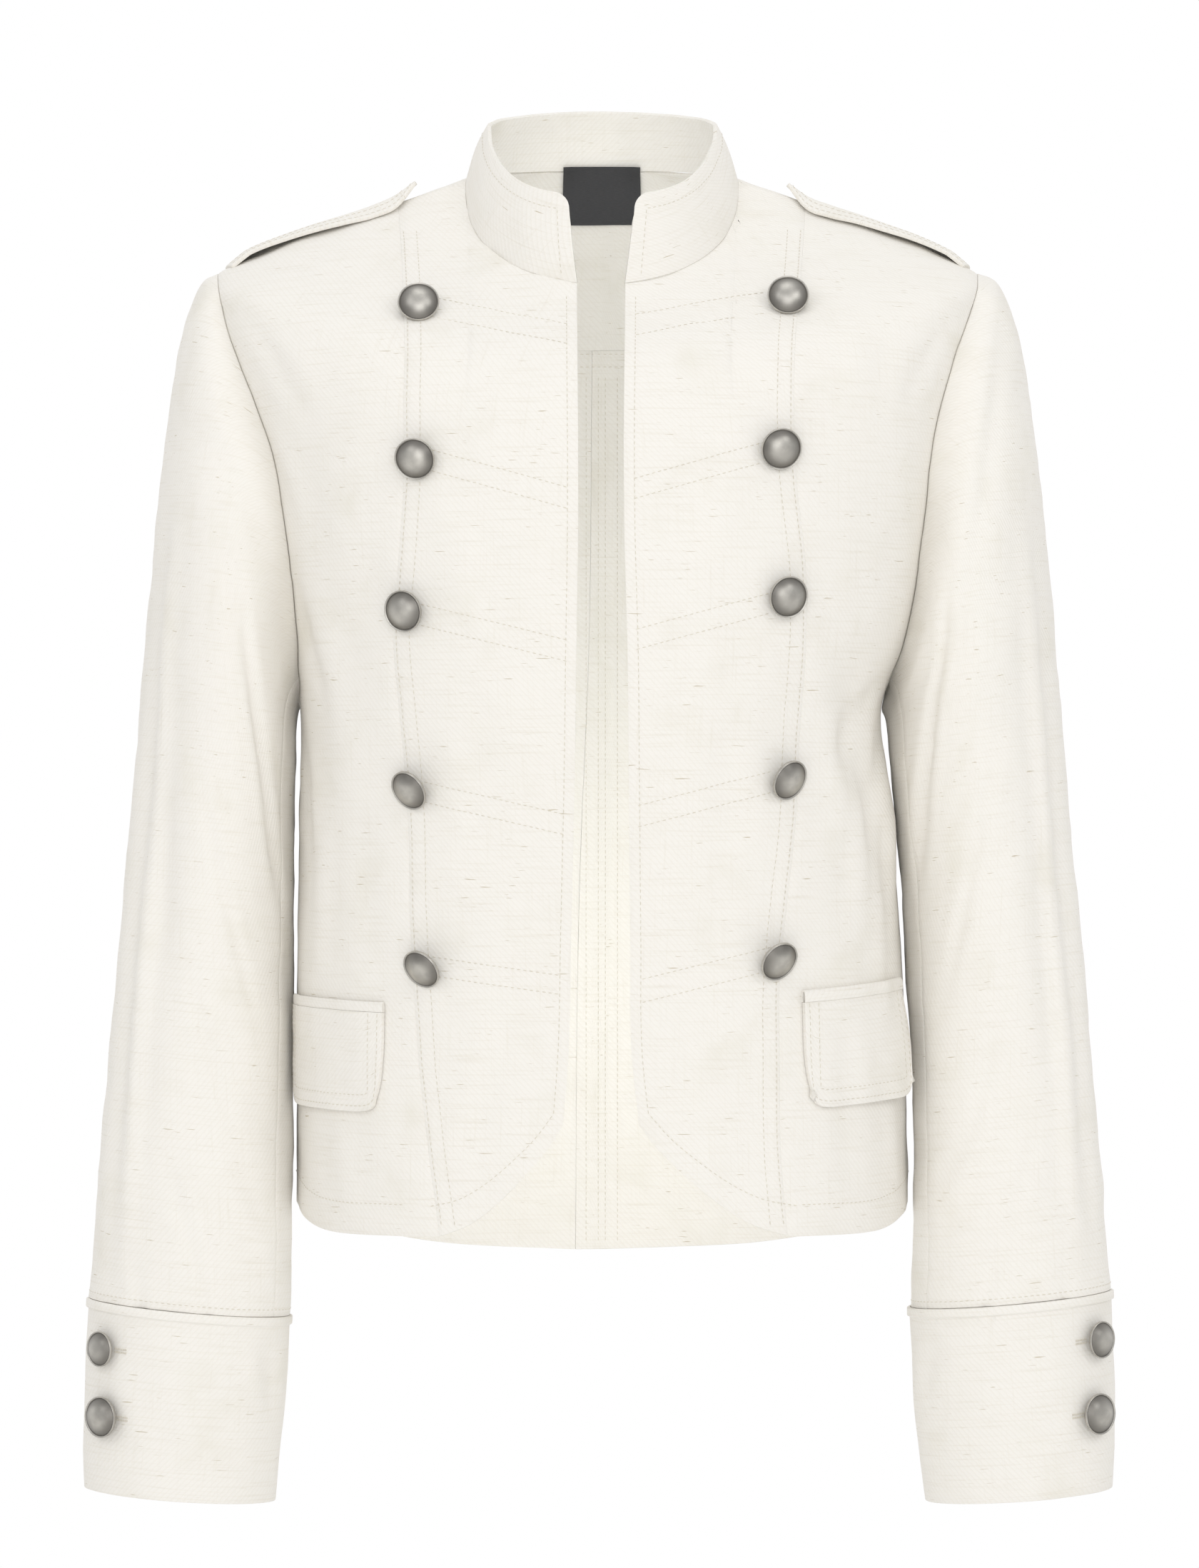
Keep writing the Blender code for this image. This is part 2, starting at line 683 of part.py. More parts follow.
def sleeve_walls(side):
    rows = sleeve_rows()
    count = ARM_STEPS * 2
    turn = np.arange(count) * 2 * math.pi / count
    grid = np.zeros((len(rows), count, 3))
    ring = arm_ring(side)
    own = sleeve_ellipse(side, 0.0, turn)
    for row, at in enumerate(rows):
        keep = float(sleeve_column("seam_share", at))
        grid[row] = sleeve_ellipse(side, at, turn) + (ring - own) * keep
    grid[0] = ring
    way = grid[1] - grid[0]
    grid[0] += way / np.linalg.norm(way, axis=-1, keepdims=True) * SEAM_GAP
    share = (rows / rows[-1])[:, None]
    normal = ring_normals(grid)
    outer = grid + normal * sleeve_fold(side, turn[None, :], share)[..., None]
    inner = outer - normal * CLOTH
    return outer, inner


def take_columns(grid, start, end):
    columns = [index % grid.shape[1] for index in range(start, end + 1)]
    return grid[:, columns]


def pull_in_sides(grid, distance):
    moved = grid.copy()
    for edge, inner in ((0, 1), (-1, -2)):
        way = grid[:, inner] - grid[:, edge]
        moved[:, edge] += way / np.linalg.norm(way, axis=-1, keepdims=True) * distance
    return moved


def add_sleeve(side, upper_material, under_material):
    outer, inner = sleeve_walls(side)
    name = SIDE_NAMES[side]
    half = SEAM_GAP / 2.0
    count = ARM_STEPS * 2
    spans = (
        ("sleeve_upper_" + name, UPPER_SEAM_BACK - count, UPPER_SEAM_FRONT, upper_material),
        ("sleeve_under_" + name, UPPER_SEAM_FRONT, UPPER_SEAM_BACK, under_material),
    )
    for label, start, end, material in spans:
        wall_out = pull_in_sides(take_columns(outer, start, end), half)
        wall_in = pull_in_sides(take_columns(inner, start, end), half)
        object_from_walls(label, wall_out, wall_in, material)


def cuff_column(name, height):
    return np.interp(-height, [-value for value in CUFF["height"]], CUFF[name])


def cuff_ring(side, height, turn, out):
    """Points round the cuff at a ring's height, moved outward."""
    outer_x = cuff_column(SIDE_NAMES[side] + "_outer", height)
    inner_x = cuff_column(SIDE_NAMES[side] + "_inner", height)
    across = (outer_x - inner_x) / 2 + out
    deep = cuff_column("deep", height) + out
    rise = cuff_column("tilt", height) * np.cos(turn) + cuff_column("left_rise", height) * (side > 0)
    return np.stack(
        (
            side * ((outer_x + inner_x) / 2 + across * np.cos(turn)),
            CUFF_MIDDLE - deep * np.sin(turn),
            height + rise,
        ),
        axis=-1,
    )


def add_cuff(side, material):
    count = ARM_STEPS * 2
    turn = np.arange(count) * 2 * math.pi / count
    outer = np.stack([cuff_ring(side, height, turn, cuff_column("proud", height)) for height in CUFF["height"]])
    inner = np.stack([cuff_ring(side, height, turn, -CUFF_WALL) for height in CUFF["height"]])
    object_from_walls("cuff_" + SIDE_NAMES[side], outer, inner, material, closed=True)


def collar_rim(side, angle):
    """The collar's top rim at the same angles as the neck seam below it."""
    angle = np.radians(angle)
    cosine = np.cos(angle)
    ahead = cosine > 0
    depth = np.where(ahead, COLLAR_FRONT, COLLAR_BACK)
    change = np.where(ahead, COLLAR_FRONT_DROP, COLLAR_BACK_RISE)
    lift = np.where(ahead, COLLAR_FRONT_LIFT, 0.0) * np.abs(cosine) ** COLLAR_LIFT_POWER
    return np.stack(
        (
            side * COLLAR_WIDE * np.abs(np.sin(angle)),
            -depth * cosine,
            COLLAR_SIDE_HEIGHT + change * np.abs(cosine) + lift,
        ),
        axis=-1,
    )


def collar_places():
    """Angles and sides along the neck seam, from the right front round the back to the left front."""
    sides = []
    bottom = []
    top = []
    for side in (-1, 1):
        front = front_neckline(side)[:, 0]
        rim_start = math.degrees(math.asin(COLLAR_FRONT_END / COLLAR_WIDE))
        front_top = np.linspace(rim_start, 90.0, len(front))
        back = np.linspace(90.0, 180.0, BACK_STEPS + 1)[1:]
        low = np.concatenate((front, back))
        high = np.concatenate((front_top, back))
        if side > 0:
            low = low[::-1][1:]
            high = high[::-1][1:]
        sides.append(np.full(len(low), float(side)))
        bottom.append(low)
        top.append(high)
    return np.concatenate(sides), np.concatenate(bottom), np.concatenate(top)


def collar_grid(inward):
    sides, low, high = collar_places()
    seam = bare_torso(sides, low, np.zeros_like(low))
    rim = collar_rim(sides, high)
    grid = np.stack([seam * (1 - share) + rim * share for share in COLLAR_ROWS])
    along = np.gradient(grid, axis=1)
    upward = np.gradient(grid, axis=0)
    normal = np.cross(along, upward)
    normal /= np.linalg.norm(normal, axis=-1, keepdims=True)
    centre = grid.mean(axis=(0, 1))
    if np.sum(normal * (grid - centre)) < 0:
        normal = -normal
    bulge = np.array([math.sin(math.pi * share) for share in COLLAR_ROWS])[:, None, None]
    grid = grid + normal * bulge * COLLAR_BULGE
    start = (grid[1] - grid[0]) / np.linalg.norm(grid[1] - grid[0], axis=-1, keepdims=True)
    grid[0] += start * (SEAM_GAP + COLLAR_FOOT)
    for end, inner in ((0, 1), (-1, -2)):
        way = grid[-1, inner] - grid[-1, end]
        down = grid[-2, end] - grid[-1, end]
        grid[-1, end] += way / np.linalg.norm(way) * COLLAR_CORNER * 0.4
        grid[-1, end] += down / np.linalg.norm(down) * COLLAR_CORNER * 0.3
    return grid - normal * inward


def add_collar(material):
    object_from_walls("collar", collar_grid(0.0), collar_grid(COLLAR_WALL), material)


def add_label(material):
    """A woven label inside the back neck, sewn over the neck seam and bare on its face."""
    columns = np.linspace(-LABEL_WIDE / 2, LABEL_WIDE / 2, 7)
    rows = np.linspace(0.0, 1.0, 5)
    front = []
    back = []
    for share in rows:
        line_front = []
        line_back = []
        for across in columns:
            side = 1 if across >= 0 else -1
            height = TORSO["back_rise"][0] - LABEL_START - LABEL_HIGH * share
            angle, level = place_on_body(side, abs(across), height, rear=True)
            inside = torso(np.float64(side), np.float64(angle), np.float64(level), -CLOTH - LABEL_STAND)
            deeper = torso(np.float64(side), np.float64(angle), np.float64(level), -CLOTH - LABEL_STAND - LABEL_THICK)
            line_back.append(inside)
            line_front.append(deeper)
        front.append(line_front)
        back.append(line_back)
    tab = np.array((0.0, -LABEL_LEAN * LABEL_TAB, LABEL_TAB))
    front = np.array([front[0] + tab] + front)
    back = np.array([back[0] + tab] + back)
    object_from_walls("neck_label", front, back, material)


def shoulder_top(side, out, depth):
    """Angle and level of the shoulder's surface at this distance out and this depth."""
    ahead = depth < 0

    def angle_at(level):
        reach = torso_column("front" if ahead else "back", level)
        cosine = np.minimum((abs(depth) / reach) ** (torso_column("square", level) / 2.0), 1.0)
        turn = np.degrees(np.arccos(cosine))
        return turn if ahead else 180.0 - turn

    def is_low(level):
        return np.abs(bare_torso(side, angle_at(level), level)[..., 0]) > out

    level = halve(np.float64(SHOULDER_LOWEST), np.float64(0.0), is_low)
    return angle_at(level), level


def add_epaulette(side, material):
    """A strap from the armhole seam along the shoulder, with a free end by the collar."""
    lifts = EPAULETTE["left_lift" if side > 0 else "right_lift"]
    tip = (TORSO["left_width"] if side > 0 else TORSO["right_width"])[4] - EPAULETTE_START
    outer = []
    inner = []
    for along, lift, half in zip(EPAULETTE["along"], lifts, EPAULETTE["half_wide"]):
        out = tip + (EPAULETTE_END - tip) * along
        top = []
        under = []
        for across in EPAULETTE_ACROSS:
            hollow = EPAULETTE_HOLLOW * across * across * (1 - along)
            angle, level = shoulder_top(side, out - hollow, EPAULETTE_BACK + across * half)
            start = torso(np.float64(side), np.float64(angle), np.float64(level), EPAULETTE_LIFT)
            start = start + np.array((0.0, 0.0, lift))
            under.append(start)
            top.append(start + np.array((0.0, 0.0, EPAULETTE_THICK)))
        outer.append(top)
        inner.append(under)
    object_from_walls("epaulette_" + SIDE_NAMES[side], np.array(outer), np.array(inner), material)


def add_pocket(row, flap_material, welt_material):
    side = POCKETS["side"][row]
    name = SIDE_NAMES[side]
    start = POCKETS["front_angle"][row]
    end = POCKETS["rear_angle"][row]
    across = np.linspace(0.0, 1.0, FLAP_COLUMNS)
    top = POCKETS["front_height"][row] + (POCKETS["rear_height"][row] - POCKETS["front_height"][row]) * across
    angles = start + (end - start) * across
    round_off = np.abs(2 * across - 1) ** FLAP_SHARPNESS
    corner = 1.0 - FLAP_CORNER * round_off
    down = np.linspace(0.0, 1.0, FLAP_ROWS)[:, None]
    levels = top[None, :] - POCKETS["flap_drop"][row] * down * corner[None, :]
    tuck = FLAP_TUCK * round_off[None, :] * down**4
    spread = np.broadcast_to(angles, levels.shape) + np.sign(0.5 - across)[None, :] * tuck
    stand = POCKETS["rear_stand"][row] * down * across[None, :] ** 3
    sides = np.full(levels.shape, float(side))
    near = torso(sides, spread, levels, LIFT + stand)
    far = torso(sides, spread, levels, LIFT + stand + FLAP_THICK)
    object_from_walls("pocket_flap_" + name, far, near, flap_material)
    rise = np.array((WELT_FOOT, WELT_HIGH))[:, None]
    levels = top[None, :] + rise
    spread = np.broadcast_to(angles, levels.shape)
    sides = np.full(levels.shape, float(side))
    near = torso(sides, spread, levels, LIFT)
    far = torso(sides, spread, levels, LIFT + WELT_THICK)
    object_from_walls("pocket_welt_" + name, far, near, welt_material)


def turned_shape(scale):
    """Points and faces of one button, turned about its shank, crown outward."""
    turn = np.arange(BUTTON_SIDES) * 2 * math.pi / BUTTON_SIDES
    points = []
    for radius, height in zip(BUTTON_OUTLINE["radius"], BUTTON_OUTLINE["height"]):
        for angle in turn:
            points.append((radius * math.cos(angle), radius * math.sin(angle), height))
    faces = [tuple(range(BUTTON_SIDES))[::-1]]
    rings = len(BUTTON_OUTLINE["radius"])
    for ring in range(rings - 1):
        for index in range(BUTTON_SIDES):
            after = (index + 1) % BUTTON_SIDES
            low = ring * BUTTON_SIDES
            high = (ring + 1) * BUTTON_SIDES
            faces.append((low + index, low + after, high + after, high + index))
    points.append((0.0, 0.0, BUTTON_CROWN))
    crown = len(points) - 1
    last = (rings - 1) * BUTTON_SIDES
    for index in range(BUTTON_SIDES):
        faces.append((last + index, last + (index + 1) % BUTTON_SIDES, crown))
    return np.array(points) * scale, faces


def add_button(name, foot, way, scale, material):
    """A shank button whose foot stands just off the cloth and whose face looks along the way given."""
    way = way / np.linalg.norm(way)
    across = np.cross((0.0, 0.0, 1.0), way)
    across = across / np.linalg.norm(across)
    up = np.cross(way, across)
    points, faces = turned_shape(scale)
    placed = foot + points[:, :1] * across + points[:, 1:2] * up + points[:, 2:] * way
    return add_object(name, placed * MM, faces, material)


def tilt_way(normal, droop, turn, side):
    """Turns a direction down by the droop and outward by the turn, in degrees."""
    flat = math.atan2(normal[0], -normal[1]) + math.radians(turn) * side
    rise = math.asin(normal[2]) - math.radians(droop)
    return np.array((math.sin(flat) * math.cos(rise), -math.cos(flat) * math.cos(rise), math.sin(rise)))


def add_front_buttons():
    for row in range(len(FRONT_BUTTONS["side"])):
        side = FRONT_BUTTONS["side"][row]
        angle, level = place_on_body(side, FRONT_BUTTONS["out"][row], FRONT_BUTTONS["height"][row])
        here = [np.float64(value) for value in (side, angle, level)]
        normal = torso_normal(*here)
        droop = FRONT_BUTTONS["droop"][row]
        stand = SHANK_GAP + SHANK_RADIUS * math.sin(math.radians(droop + abs(FRONT_BUTTONS["turn"][row])))
        foot = torso(*here, stand)
        way = tilt_way(normal, droop, FRONT_BUTTONS["turn"][row], side)
        name = "button_front_" + SIDE_NAMES[side] + "_" + str(FRONT_BUTTONS["row"][row])
        add_button(name, foot, way, 1.0, make_material(name + "_metal", OLD_SILVER, 0.35, 1.0))


def add_cuff_buttons():
    for row in range(len(CUFF_BUTTONS["side"])):
        side = CUFF_BUTTONS["side"][row]
        turn = math.radians(CUFF_BUTTONS["around"][row])
        height = CUFF_BUTTONS["height"][row]
        spot = cuff_ring(side, height, np.float64(turn), cuff_column("proud", height))
        name_side = SIDE_NAMES[side]
        half = (cuff_column(name_side + "_outer", height) - cuff_column(name_side + "_inner", height)) / 2
        deep = cuff_column("deep", height)
        way = np.array((side * math.cos(turn) / half, -math.sin(turn) / deep, 0.0))
        way = way / np.linalg.norm(way)
        name = "button_cuff_" + name_side + "_" + str(CUFF_BUTTONS["row"][row])
        scale = CUFF_BUTTONS["size"][row]
        add_button(name, spot + way * SHANK_GAP, way, scale, make_material(name + "_metal", OLD_SILVER, 0.35, 1.0))


def linen(name):
    return make_material(name + "_linen", LINEN, 0.9)


def main():
    clear_scene()
    for side in (-1, 1):
        name = SIDE_NAMES[side]
        add_panel("front_centre_" + name, side, front_centre_places(side), linen("front_centre_" + name))
        add_panel("front_side_" + name, side, front_side_places(side), linen("front_side_" + name))
        add_panel("back_" + name, side, back_places(side), linen("back_" + name))
        add_sleeve(side, linen("sleeve_upper_" + name), linen("sleeve_under_" + name))
        add_cuff(side, linen("cuff_" + name))
        add_epaulette(side, linen("epaulette_" + name))
    sides, places = yoke_places()
    add_panel("back_yoke", sides, places, linen("back_yoke"))
    add_collar(linen("collar"))
    add_label(make_material("neck_label_satin", BLACK_SATIN, 0.45))
    for row in range(len(POCKETS["side"])):
        name = SIDE_NAMES[POCKETS["side"][row]]
        add_pocket(row, linen("pocket_flap_" + name), linen("pocket_welt_" + name))
    add_front_buttons()
    add_cuff_buttons()


main()
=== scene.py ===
"""Linen twill jacket: fine cloth, sewing, buttons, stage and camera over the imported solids.

The sizes in the tables are in millimetres. X is the wearer's left, -Y the front and Z up.
"""

import math

import bpy
import numpy as np
from bpy.props import FloatProperty, FloatVectorProperty, IntProperty, PointerProperty
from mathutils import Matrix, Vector


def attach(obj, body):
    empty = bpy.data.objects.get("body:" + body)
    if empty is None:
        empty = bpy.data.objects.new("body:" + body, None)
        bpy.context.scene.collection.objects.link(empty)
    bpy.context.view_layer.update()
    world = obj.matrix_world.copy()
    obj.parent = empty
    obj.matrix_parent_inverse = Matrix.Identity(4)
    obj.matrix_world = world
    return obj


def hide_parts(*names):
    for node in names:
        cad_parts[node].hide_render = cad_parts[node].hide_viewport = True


bl_info = {
    "name": "Linen Jacket",
    "version": (1, 0, 0),
    "blender": (4, 5, 0),
    "location": "3D View > Sidebar > Jacket",
    "description": "Builds a cropped linen jacket as fine cloth with its sewing and buttons",
    "category": "Add Mesh",
}

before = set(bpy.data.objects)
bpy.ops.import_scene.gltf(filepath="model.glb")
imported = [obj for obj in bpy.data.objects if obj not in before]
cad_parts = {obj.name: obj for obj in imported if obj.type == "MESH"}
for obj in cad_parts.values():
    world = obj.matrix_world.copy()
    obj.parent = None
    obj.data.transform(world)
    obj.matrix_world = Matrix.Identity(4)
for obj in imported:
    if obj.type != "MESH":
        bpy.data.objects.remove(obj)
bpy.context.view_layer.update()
BODY = "root"
MM = 0.001
SIDE_NAMES = {1: "left", -1: "right"}

# The cloth's wall, the gap at a seam, and how far a flap or welt stands off the cloth below it.
CLOTH = 1.6
SEAM_GAP = 0.03
LIFT = 0.45
# How far a sheet dips into its seams, and the share of its wall that its edges are rounded by.
RIM_DIP = 0.22
EDGE_ROUND = 0.22
# An edge that turns by more than the first angle is rounded, and by less than the second is shaded smooth.
ROUNDED_ANGLE = 55
SMOOTH_ANGLE = 50
# The arc of one degree round the body and round a sleeve.
MM_PER_DEGREE_BODY = 2.3
MM_PER_DEGREE_SLEEVE = 0.95
# The body's depth, and the height above which its threads start to lean over the shoulders.
DEEPEST = 118.0
SHOULDER_CURVE = -130.0
LEAN_ACROSS = 0.55
LEAN_DOWN = 0.5

# A crease has a soft rise on both sides of its trough: how far away, in widths, and its share of the depth.
CREASE_SIDE = 1.9
CREASE_RISE = 0.35
# A sleeve's folds and creases start below the armhole, within this share of its length.
SLEEVE_SETTLE = 1.0 / 30.0
# The cuff is uneven only below its band, more and more down to this distance.
CUFF_SETTLE = 20.0

# The uneven surface of worn linen: the size of its waves, their random seed and their strength.
RUMPLE_WAVES = 26
RUMPLES = {
    "body": ((34.0, 3, 1.0), (11.0, 5, 0.35)),
    "sleeve": ((30.0, 7, 1.0), (10.0, 9, 0.35)),
    "cuff": ((22.0, 11, 1.0),),
    "collar": ((20.0, 13, 0.8),),
}

UNDERARM = -258.0
TIP = -45.0
ARM_STEPS = 48
SIDE_STEPS = 60
YOKE_ARM_STEP = 12
YOKE_DROP = -75.0
BACK_STEPS = 45
FRONT_NECK_STEPS = 20
CENTRE_SHOULDER_STEPS = 8
SIDE_SHOULDER_STEPS = 24
PRINCESS_SHOULDER_X = 100.0
SHOULDER_LOWEST = -70.0
HALVINGS = 40
NORMAL_ANGLE = 1.2
NORMAL_LEVEL = 1.5

# One row for each ring of the body, from the neck down. The level is its height at the shoulder or side.
TORSO = {
    "level": (0, -11, -23, -34, -45, -62, -84, -120, -165, -215, -258, -316, -380, -440, -500, -545),
    "front_drop": (-56, -55, -50, -44, -38, -28, -17, -7, -1, 0, 0, 0, 0, 0, 0, 0),
    "back_rise": (13, 12, 9, 6, 3, 1, 0, 0, 0, 0, 0, 0, 0, 0, 0, 0),
    "right_width": (67, 100, 135, 164, 188, 191.5, 187, 175, 163, 152.5, 147, 148.8, 149, 149.3, 149.8, 150),
    "left_width": (67, 100, 134, 162, 184, 186.5, 182, 173, 164.5, 154, 137, 142.3, 147, 149.2, 150.2, 150.4),
    "front": (71, 77, 84, 90, 96, 103, 110, 118, 123, 125, 123, 116, 111, 111, 114, 116),
    "back": (74, 82, 90, 96, 101, 106, 111, 114, 114, 110, 105, 98, 95, 99, 106, 110),
    "square": (2.0, 2.05, 2.1, 2.15, 2.2, 2.25, 2.3, 2.3, 2.3, 2.3, 2.3, 2.3, 2.3, 2.3, 2.3, 2.3),
    "tilt": (0.8, 1.0, 1.2, 1.3, 1.4, 1.4, 1.4, 1.4, 1.4, 1.4, 1.4, 1.4, 1.4, 1.4, 1.4, 1.4),
}

# How far out the armhole seam lies at each level.
ARMHOLE = {
    "level": (-45, -62, -84, -105, -124, -142, -160, -182, -211, -234, -258),
    "right": (188, 184, 176.5, 169, 163, 158, 154.5, 151.3, 148.5, 147.2, 147),
    "left": (184, 178.5, 170.5, 165, 161, 158, 156.5, 154, 150, 144, 137),
}

PRINCESS = {
    "height": (-10, -50, -85, -112, -150, -195, -228, -263, -321, -352, -390, -435, -470, -510),
    "right": (100, 96, 94, 94, 94, 97, 99, 96, 92, 91.5, 89.5, 86.5, 82.5, 77),
    "left": (100, 96, 92, 91, 92, 97, 97, 94.5, 91.5, 88, 84.5, 84.5, 85, 88),
}

FRONT_EDGE = {
    "height": (-56, -148, -185, -222, -296, -370, -425, -457),
    "right": (12, 11.2, 11.3, 11.9, 12.9, 14.6, 15.9, 18.3),
    "left": (11.2, 10.3, 10.7, 11.8, 12.7, 13.4, 14.2, 17.6),
}

# The rounded front corner, from the front edge round to the princess seam.
CUTAWAY = {
    "out": (0.0, 0.11, 0.31, 0.53, 0.74, 1.0),
    "height": (-457, -467, -481, -494, -503.5, -510),
}

HEM = {
    "angle": (36, 60, 90, 120, 150, 180),
    "height": (-510.5, -510, -500, -514, -527, -532),
}

# The seam at centre back hangs a little towards the wearer's right.
CENTRE_BACK = {
    "level": (-75, -224, -350, -532),
    "out": (5.0, 6.6, 11.5, 13.5),
}

# Soft folds of the body: positive depth is a ridge, negative a trough.
BODY_FOLDS = {
    "side": (1, 1, 1, -1, -1, 1, -1, 1, -1),
    "angle": (52, 66, 78, 58, 76, 128, 122, 158, 152),
    "lean": (-9, -12, 5, 7, -4, 10, -9, 5, -6),
    "middle": (-300, -310, -320, -235, -320, -330, -300, -420, -380),
    "reach": (85, 75, 65, 90, 65, 130, 120, 90, 110),
    "spread": (5.5, 6.0, 5.0, 6.0, 5.5, 8.0, 9.0, 9.0, 8.0),
    "depth": (3.0, -3.8, 2.6, 2.6, -2.4, -3.4, -3.0, 2.2, -2.2),
}

# Sleeve rings from the armhole to the cuff: the outer and inner edge seen from the front, the middle and
# half the depth.
SLEEVE = {
    "right_outer": (186.5, 194.5, 201.7, 208.6, 213.7, 219.3, 224.6, 229.7, 234.8, 239.9, 244.7, 247, 249.1),
    "left_outer": (186.5, 194.8, 201.4, 207.2, 212.3, 217.8, 223.3, 228.5, 233.4, 238.7, 243.2, 245.6, 247.3),
    "outer_height": (-45, -49, -63, -92, -128, -175, -238, -300, -360, -422, -480, -513, -544.7),
    "right_inner": (
        147.5, 148.9, 149.9, 150.4, 150.7, 150.8, 150.9, 150.9, 150.9, 150.9, 150.9, 150.8, 152.2,
    ),
    "left_inner": (137.5, 139.6, 140.5, 141.2, 142.3, 143.9, 146.2, 148.5, 150.3, 151.3, 151.6, 151.1, 150.2),
    "inner_height": (-258, -263, -270, -280, -294, -312, -340, -375, -412, -452, -492, -523, -553.5),
    "left_rise": (0, 0, 0, 0, 0, 0, 0, 0, 0, 0.6, 1.8, 2.9, 4),
    "middle": (0, -1, -2, -3, -3, -2, -1, -2, -6, -12, -18, -21.5, -24),
    "deep": (57, 61, 64, 65, 65, 64, 61.5, 58, 53.5, 49, 45, 42, 40),
    "seam_share": (1, 0.62, 0.33, 0.14, 0.04, 0, 0, 0, 0, 0, 0, 0, 0),
}
RINGS_PER_ROW = 10
UPPER_SEAM_FRONT = 40
UPPER_SEAM_BACK = 64

SLEEVE_FOLDS = {
    "side": (1, 1, 1, 1, -1, -1, -1, -1),
    "around": (60, 110, 45, 80, 70, 115, 50, 90),
    "lean": (40, -30, 25, -35, -35, 30, 30, -30),
    "middle": (0.22, 0.30, 0.62, 0.80, 0.20, 0.34, 0.58, 0.78),
    "reach": (0.13, 0.12, 0.18, 0.12, 0.14, 0.12, 0.17, 0.13),
    "spread": (17, 16, 15, 18, 16, 17, 15, 17),
    "depth": (-2.0, -2.4, -1.8, -2.2, -2.2, -1.9, -2.1, -1.9),
}

# Cuff rings below the sleeve: the top band stands proud, and the tilt lifts a ring's outer side.
CUFF = {
    "height": (-549.5, -549.9, -553.6, -554.4, -575, -600, -622, -640.5),
    "proud": (0.2, 1.7, 1.7, 0.4, 0.4, 0.3, 0.2, 0.0),
    "right_outer": (249.1, 249.1, 249.3, 249.3, 250.4, 251.2, 251.6, 251.3),
    "left_outer": (247.3, 247.3, 247.5, 247.5, 248.4, 249.2, 249.7, 249.0),
    "right_inner": (152.2, 152.2, 152.4, 152.4, 153.5, 155.3, 157.4, 159.2),
    "left_inner": (150.2, 150.2, 150.2, 150.2, 151.0, 152.9, 155.0, 157.3),
    "deep": (39.8, 39.8, 39.7, 39.7, 39.2, 38.6, 38.2, 38),
    "tilt": (4.4, 4.4, 4.4, 4.4, 4.2, 3.9, 3.6, 3.4),
    "left_rise": (4.0, 4.0, 4.0, 4.0, 3.3, 2.2, 1.1, 0.0),
}
CUFF_MIDDLE = -24.0
CUFF_WALL = 2.4
CUFF_BELOW_BAND = -558.0
CUFF_RINGS = 24
# How far a sleeve's end reaches under its cuff's band.
CUFF_TUCK = 0.34

# The top rim of the stand collar is a smaller ring than the neck seam. Its columns crowd to the front ends.
COLLAR_CROWDING = 1.6
COLLAR_WIDE = 56.2
COLLAR_FRONT = 66.0
COLLAR_BACK = 61.0
COLLAR_SIDE_HEIGHT = 28.0
COLLAR_FRONT_DROP = -47.0
COLLAR_BACK_RISE = 13.0
COLLAR_FRONT_LIFT = 6.4
COLLAR_LIFT_POWER = 5
COLLAR_FRONT_END = 16.5
COLLAR_WALL = 2.0
COLLAR_CORNER = 6.5
COLLAR_BULGE = 1.2
COLLAR_RINGS = 17

LABEL_WIDE = 40.0
LABEL_HIGH = 25.0
LABEL_THICK = 1.0
LABEL_STAND = 0.6
LABEL_START = 0.3
LABEL_TAB = 3.0
LABEL_LEAN = 0.85
LABEL_WALL = 0.5
LABEL_WAVE = 0.3
LABEL_WAVE_LONG = 7.0
LABEL_GRID = (15, 21)

EPAULETTE = {
    "along": (0.0, 0.14, 0.3, 0.46, 0.62, 0.78, 0.91, 1.0),
    "right_lift": (0.0, 1.7, 1.6, 1.3, 0.5, 0.4, 1.8, 5.0),
    "left_lift": (0.0, 1.2, 1.5, 1.2, 0.9, 0.5, 1.0, 4.0),
    "half_wide": (21, 20.5, 20, 20, 19.5, 19.5, 17, 9),
}
EPAULETTE_END = 92.0
EPAULETTE_GRID = (65, 25)
EPAULETTE_THICK = 2.6
EPAULETTE_LIFT = 0.6
EPAULETTE_START = 3.0
EPAULETTE_HOLLOW = 4.0
EPAULETTE_BACK = 9.0
EPAULETTE_LONG = 95.0
EPAULETTE_SEWN = 0.2
EPAULETTE_RISE = 0.12
EPAULETTE_WALL = 2.0

POCKETS = {
    "side": (-1, 1),
    "front_angle": (41, 37),
    "rear_angle": (80, 74),
    "front_height": (-404.5, -399.5),
    "rear_height": (-402.5, -395),
    "flap_drop": (48, 51),
    "rear_stand": (1.0, 5.0),
}
POCKET_COLUMNS = 33
FLAP_THICK = 2.6
FLAP_RINGS = 19
FLAP_CORNER = 0.14
FLAP_TUCK = 2.0
FLAP_SHARPNESS = 9
# Section of a welt: cloth folded over its top edge, front face first.
WELT_WALL = 0.9
WELT_SECTION = {
    "rise": (0.1, 1.6, 3.2, 4.4, 4.9, 5.0, 4.9, 4.4, 3.2, 1.6, 0.1),
    "out": (2.3, 2.4, 2.4, 2.2, 1.8, 1.3, 0.8, 0.4, 0.2, 0.2, 0.2),
}

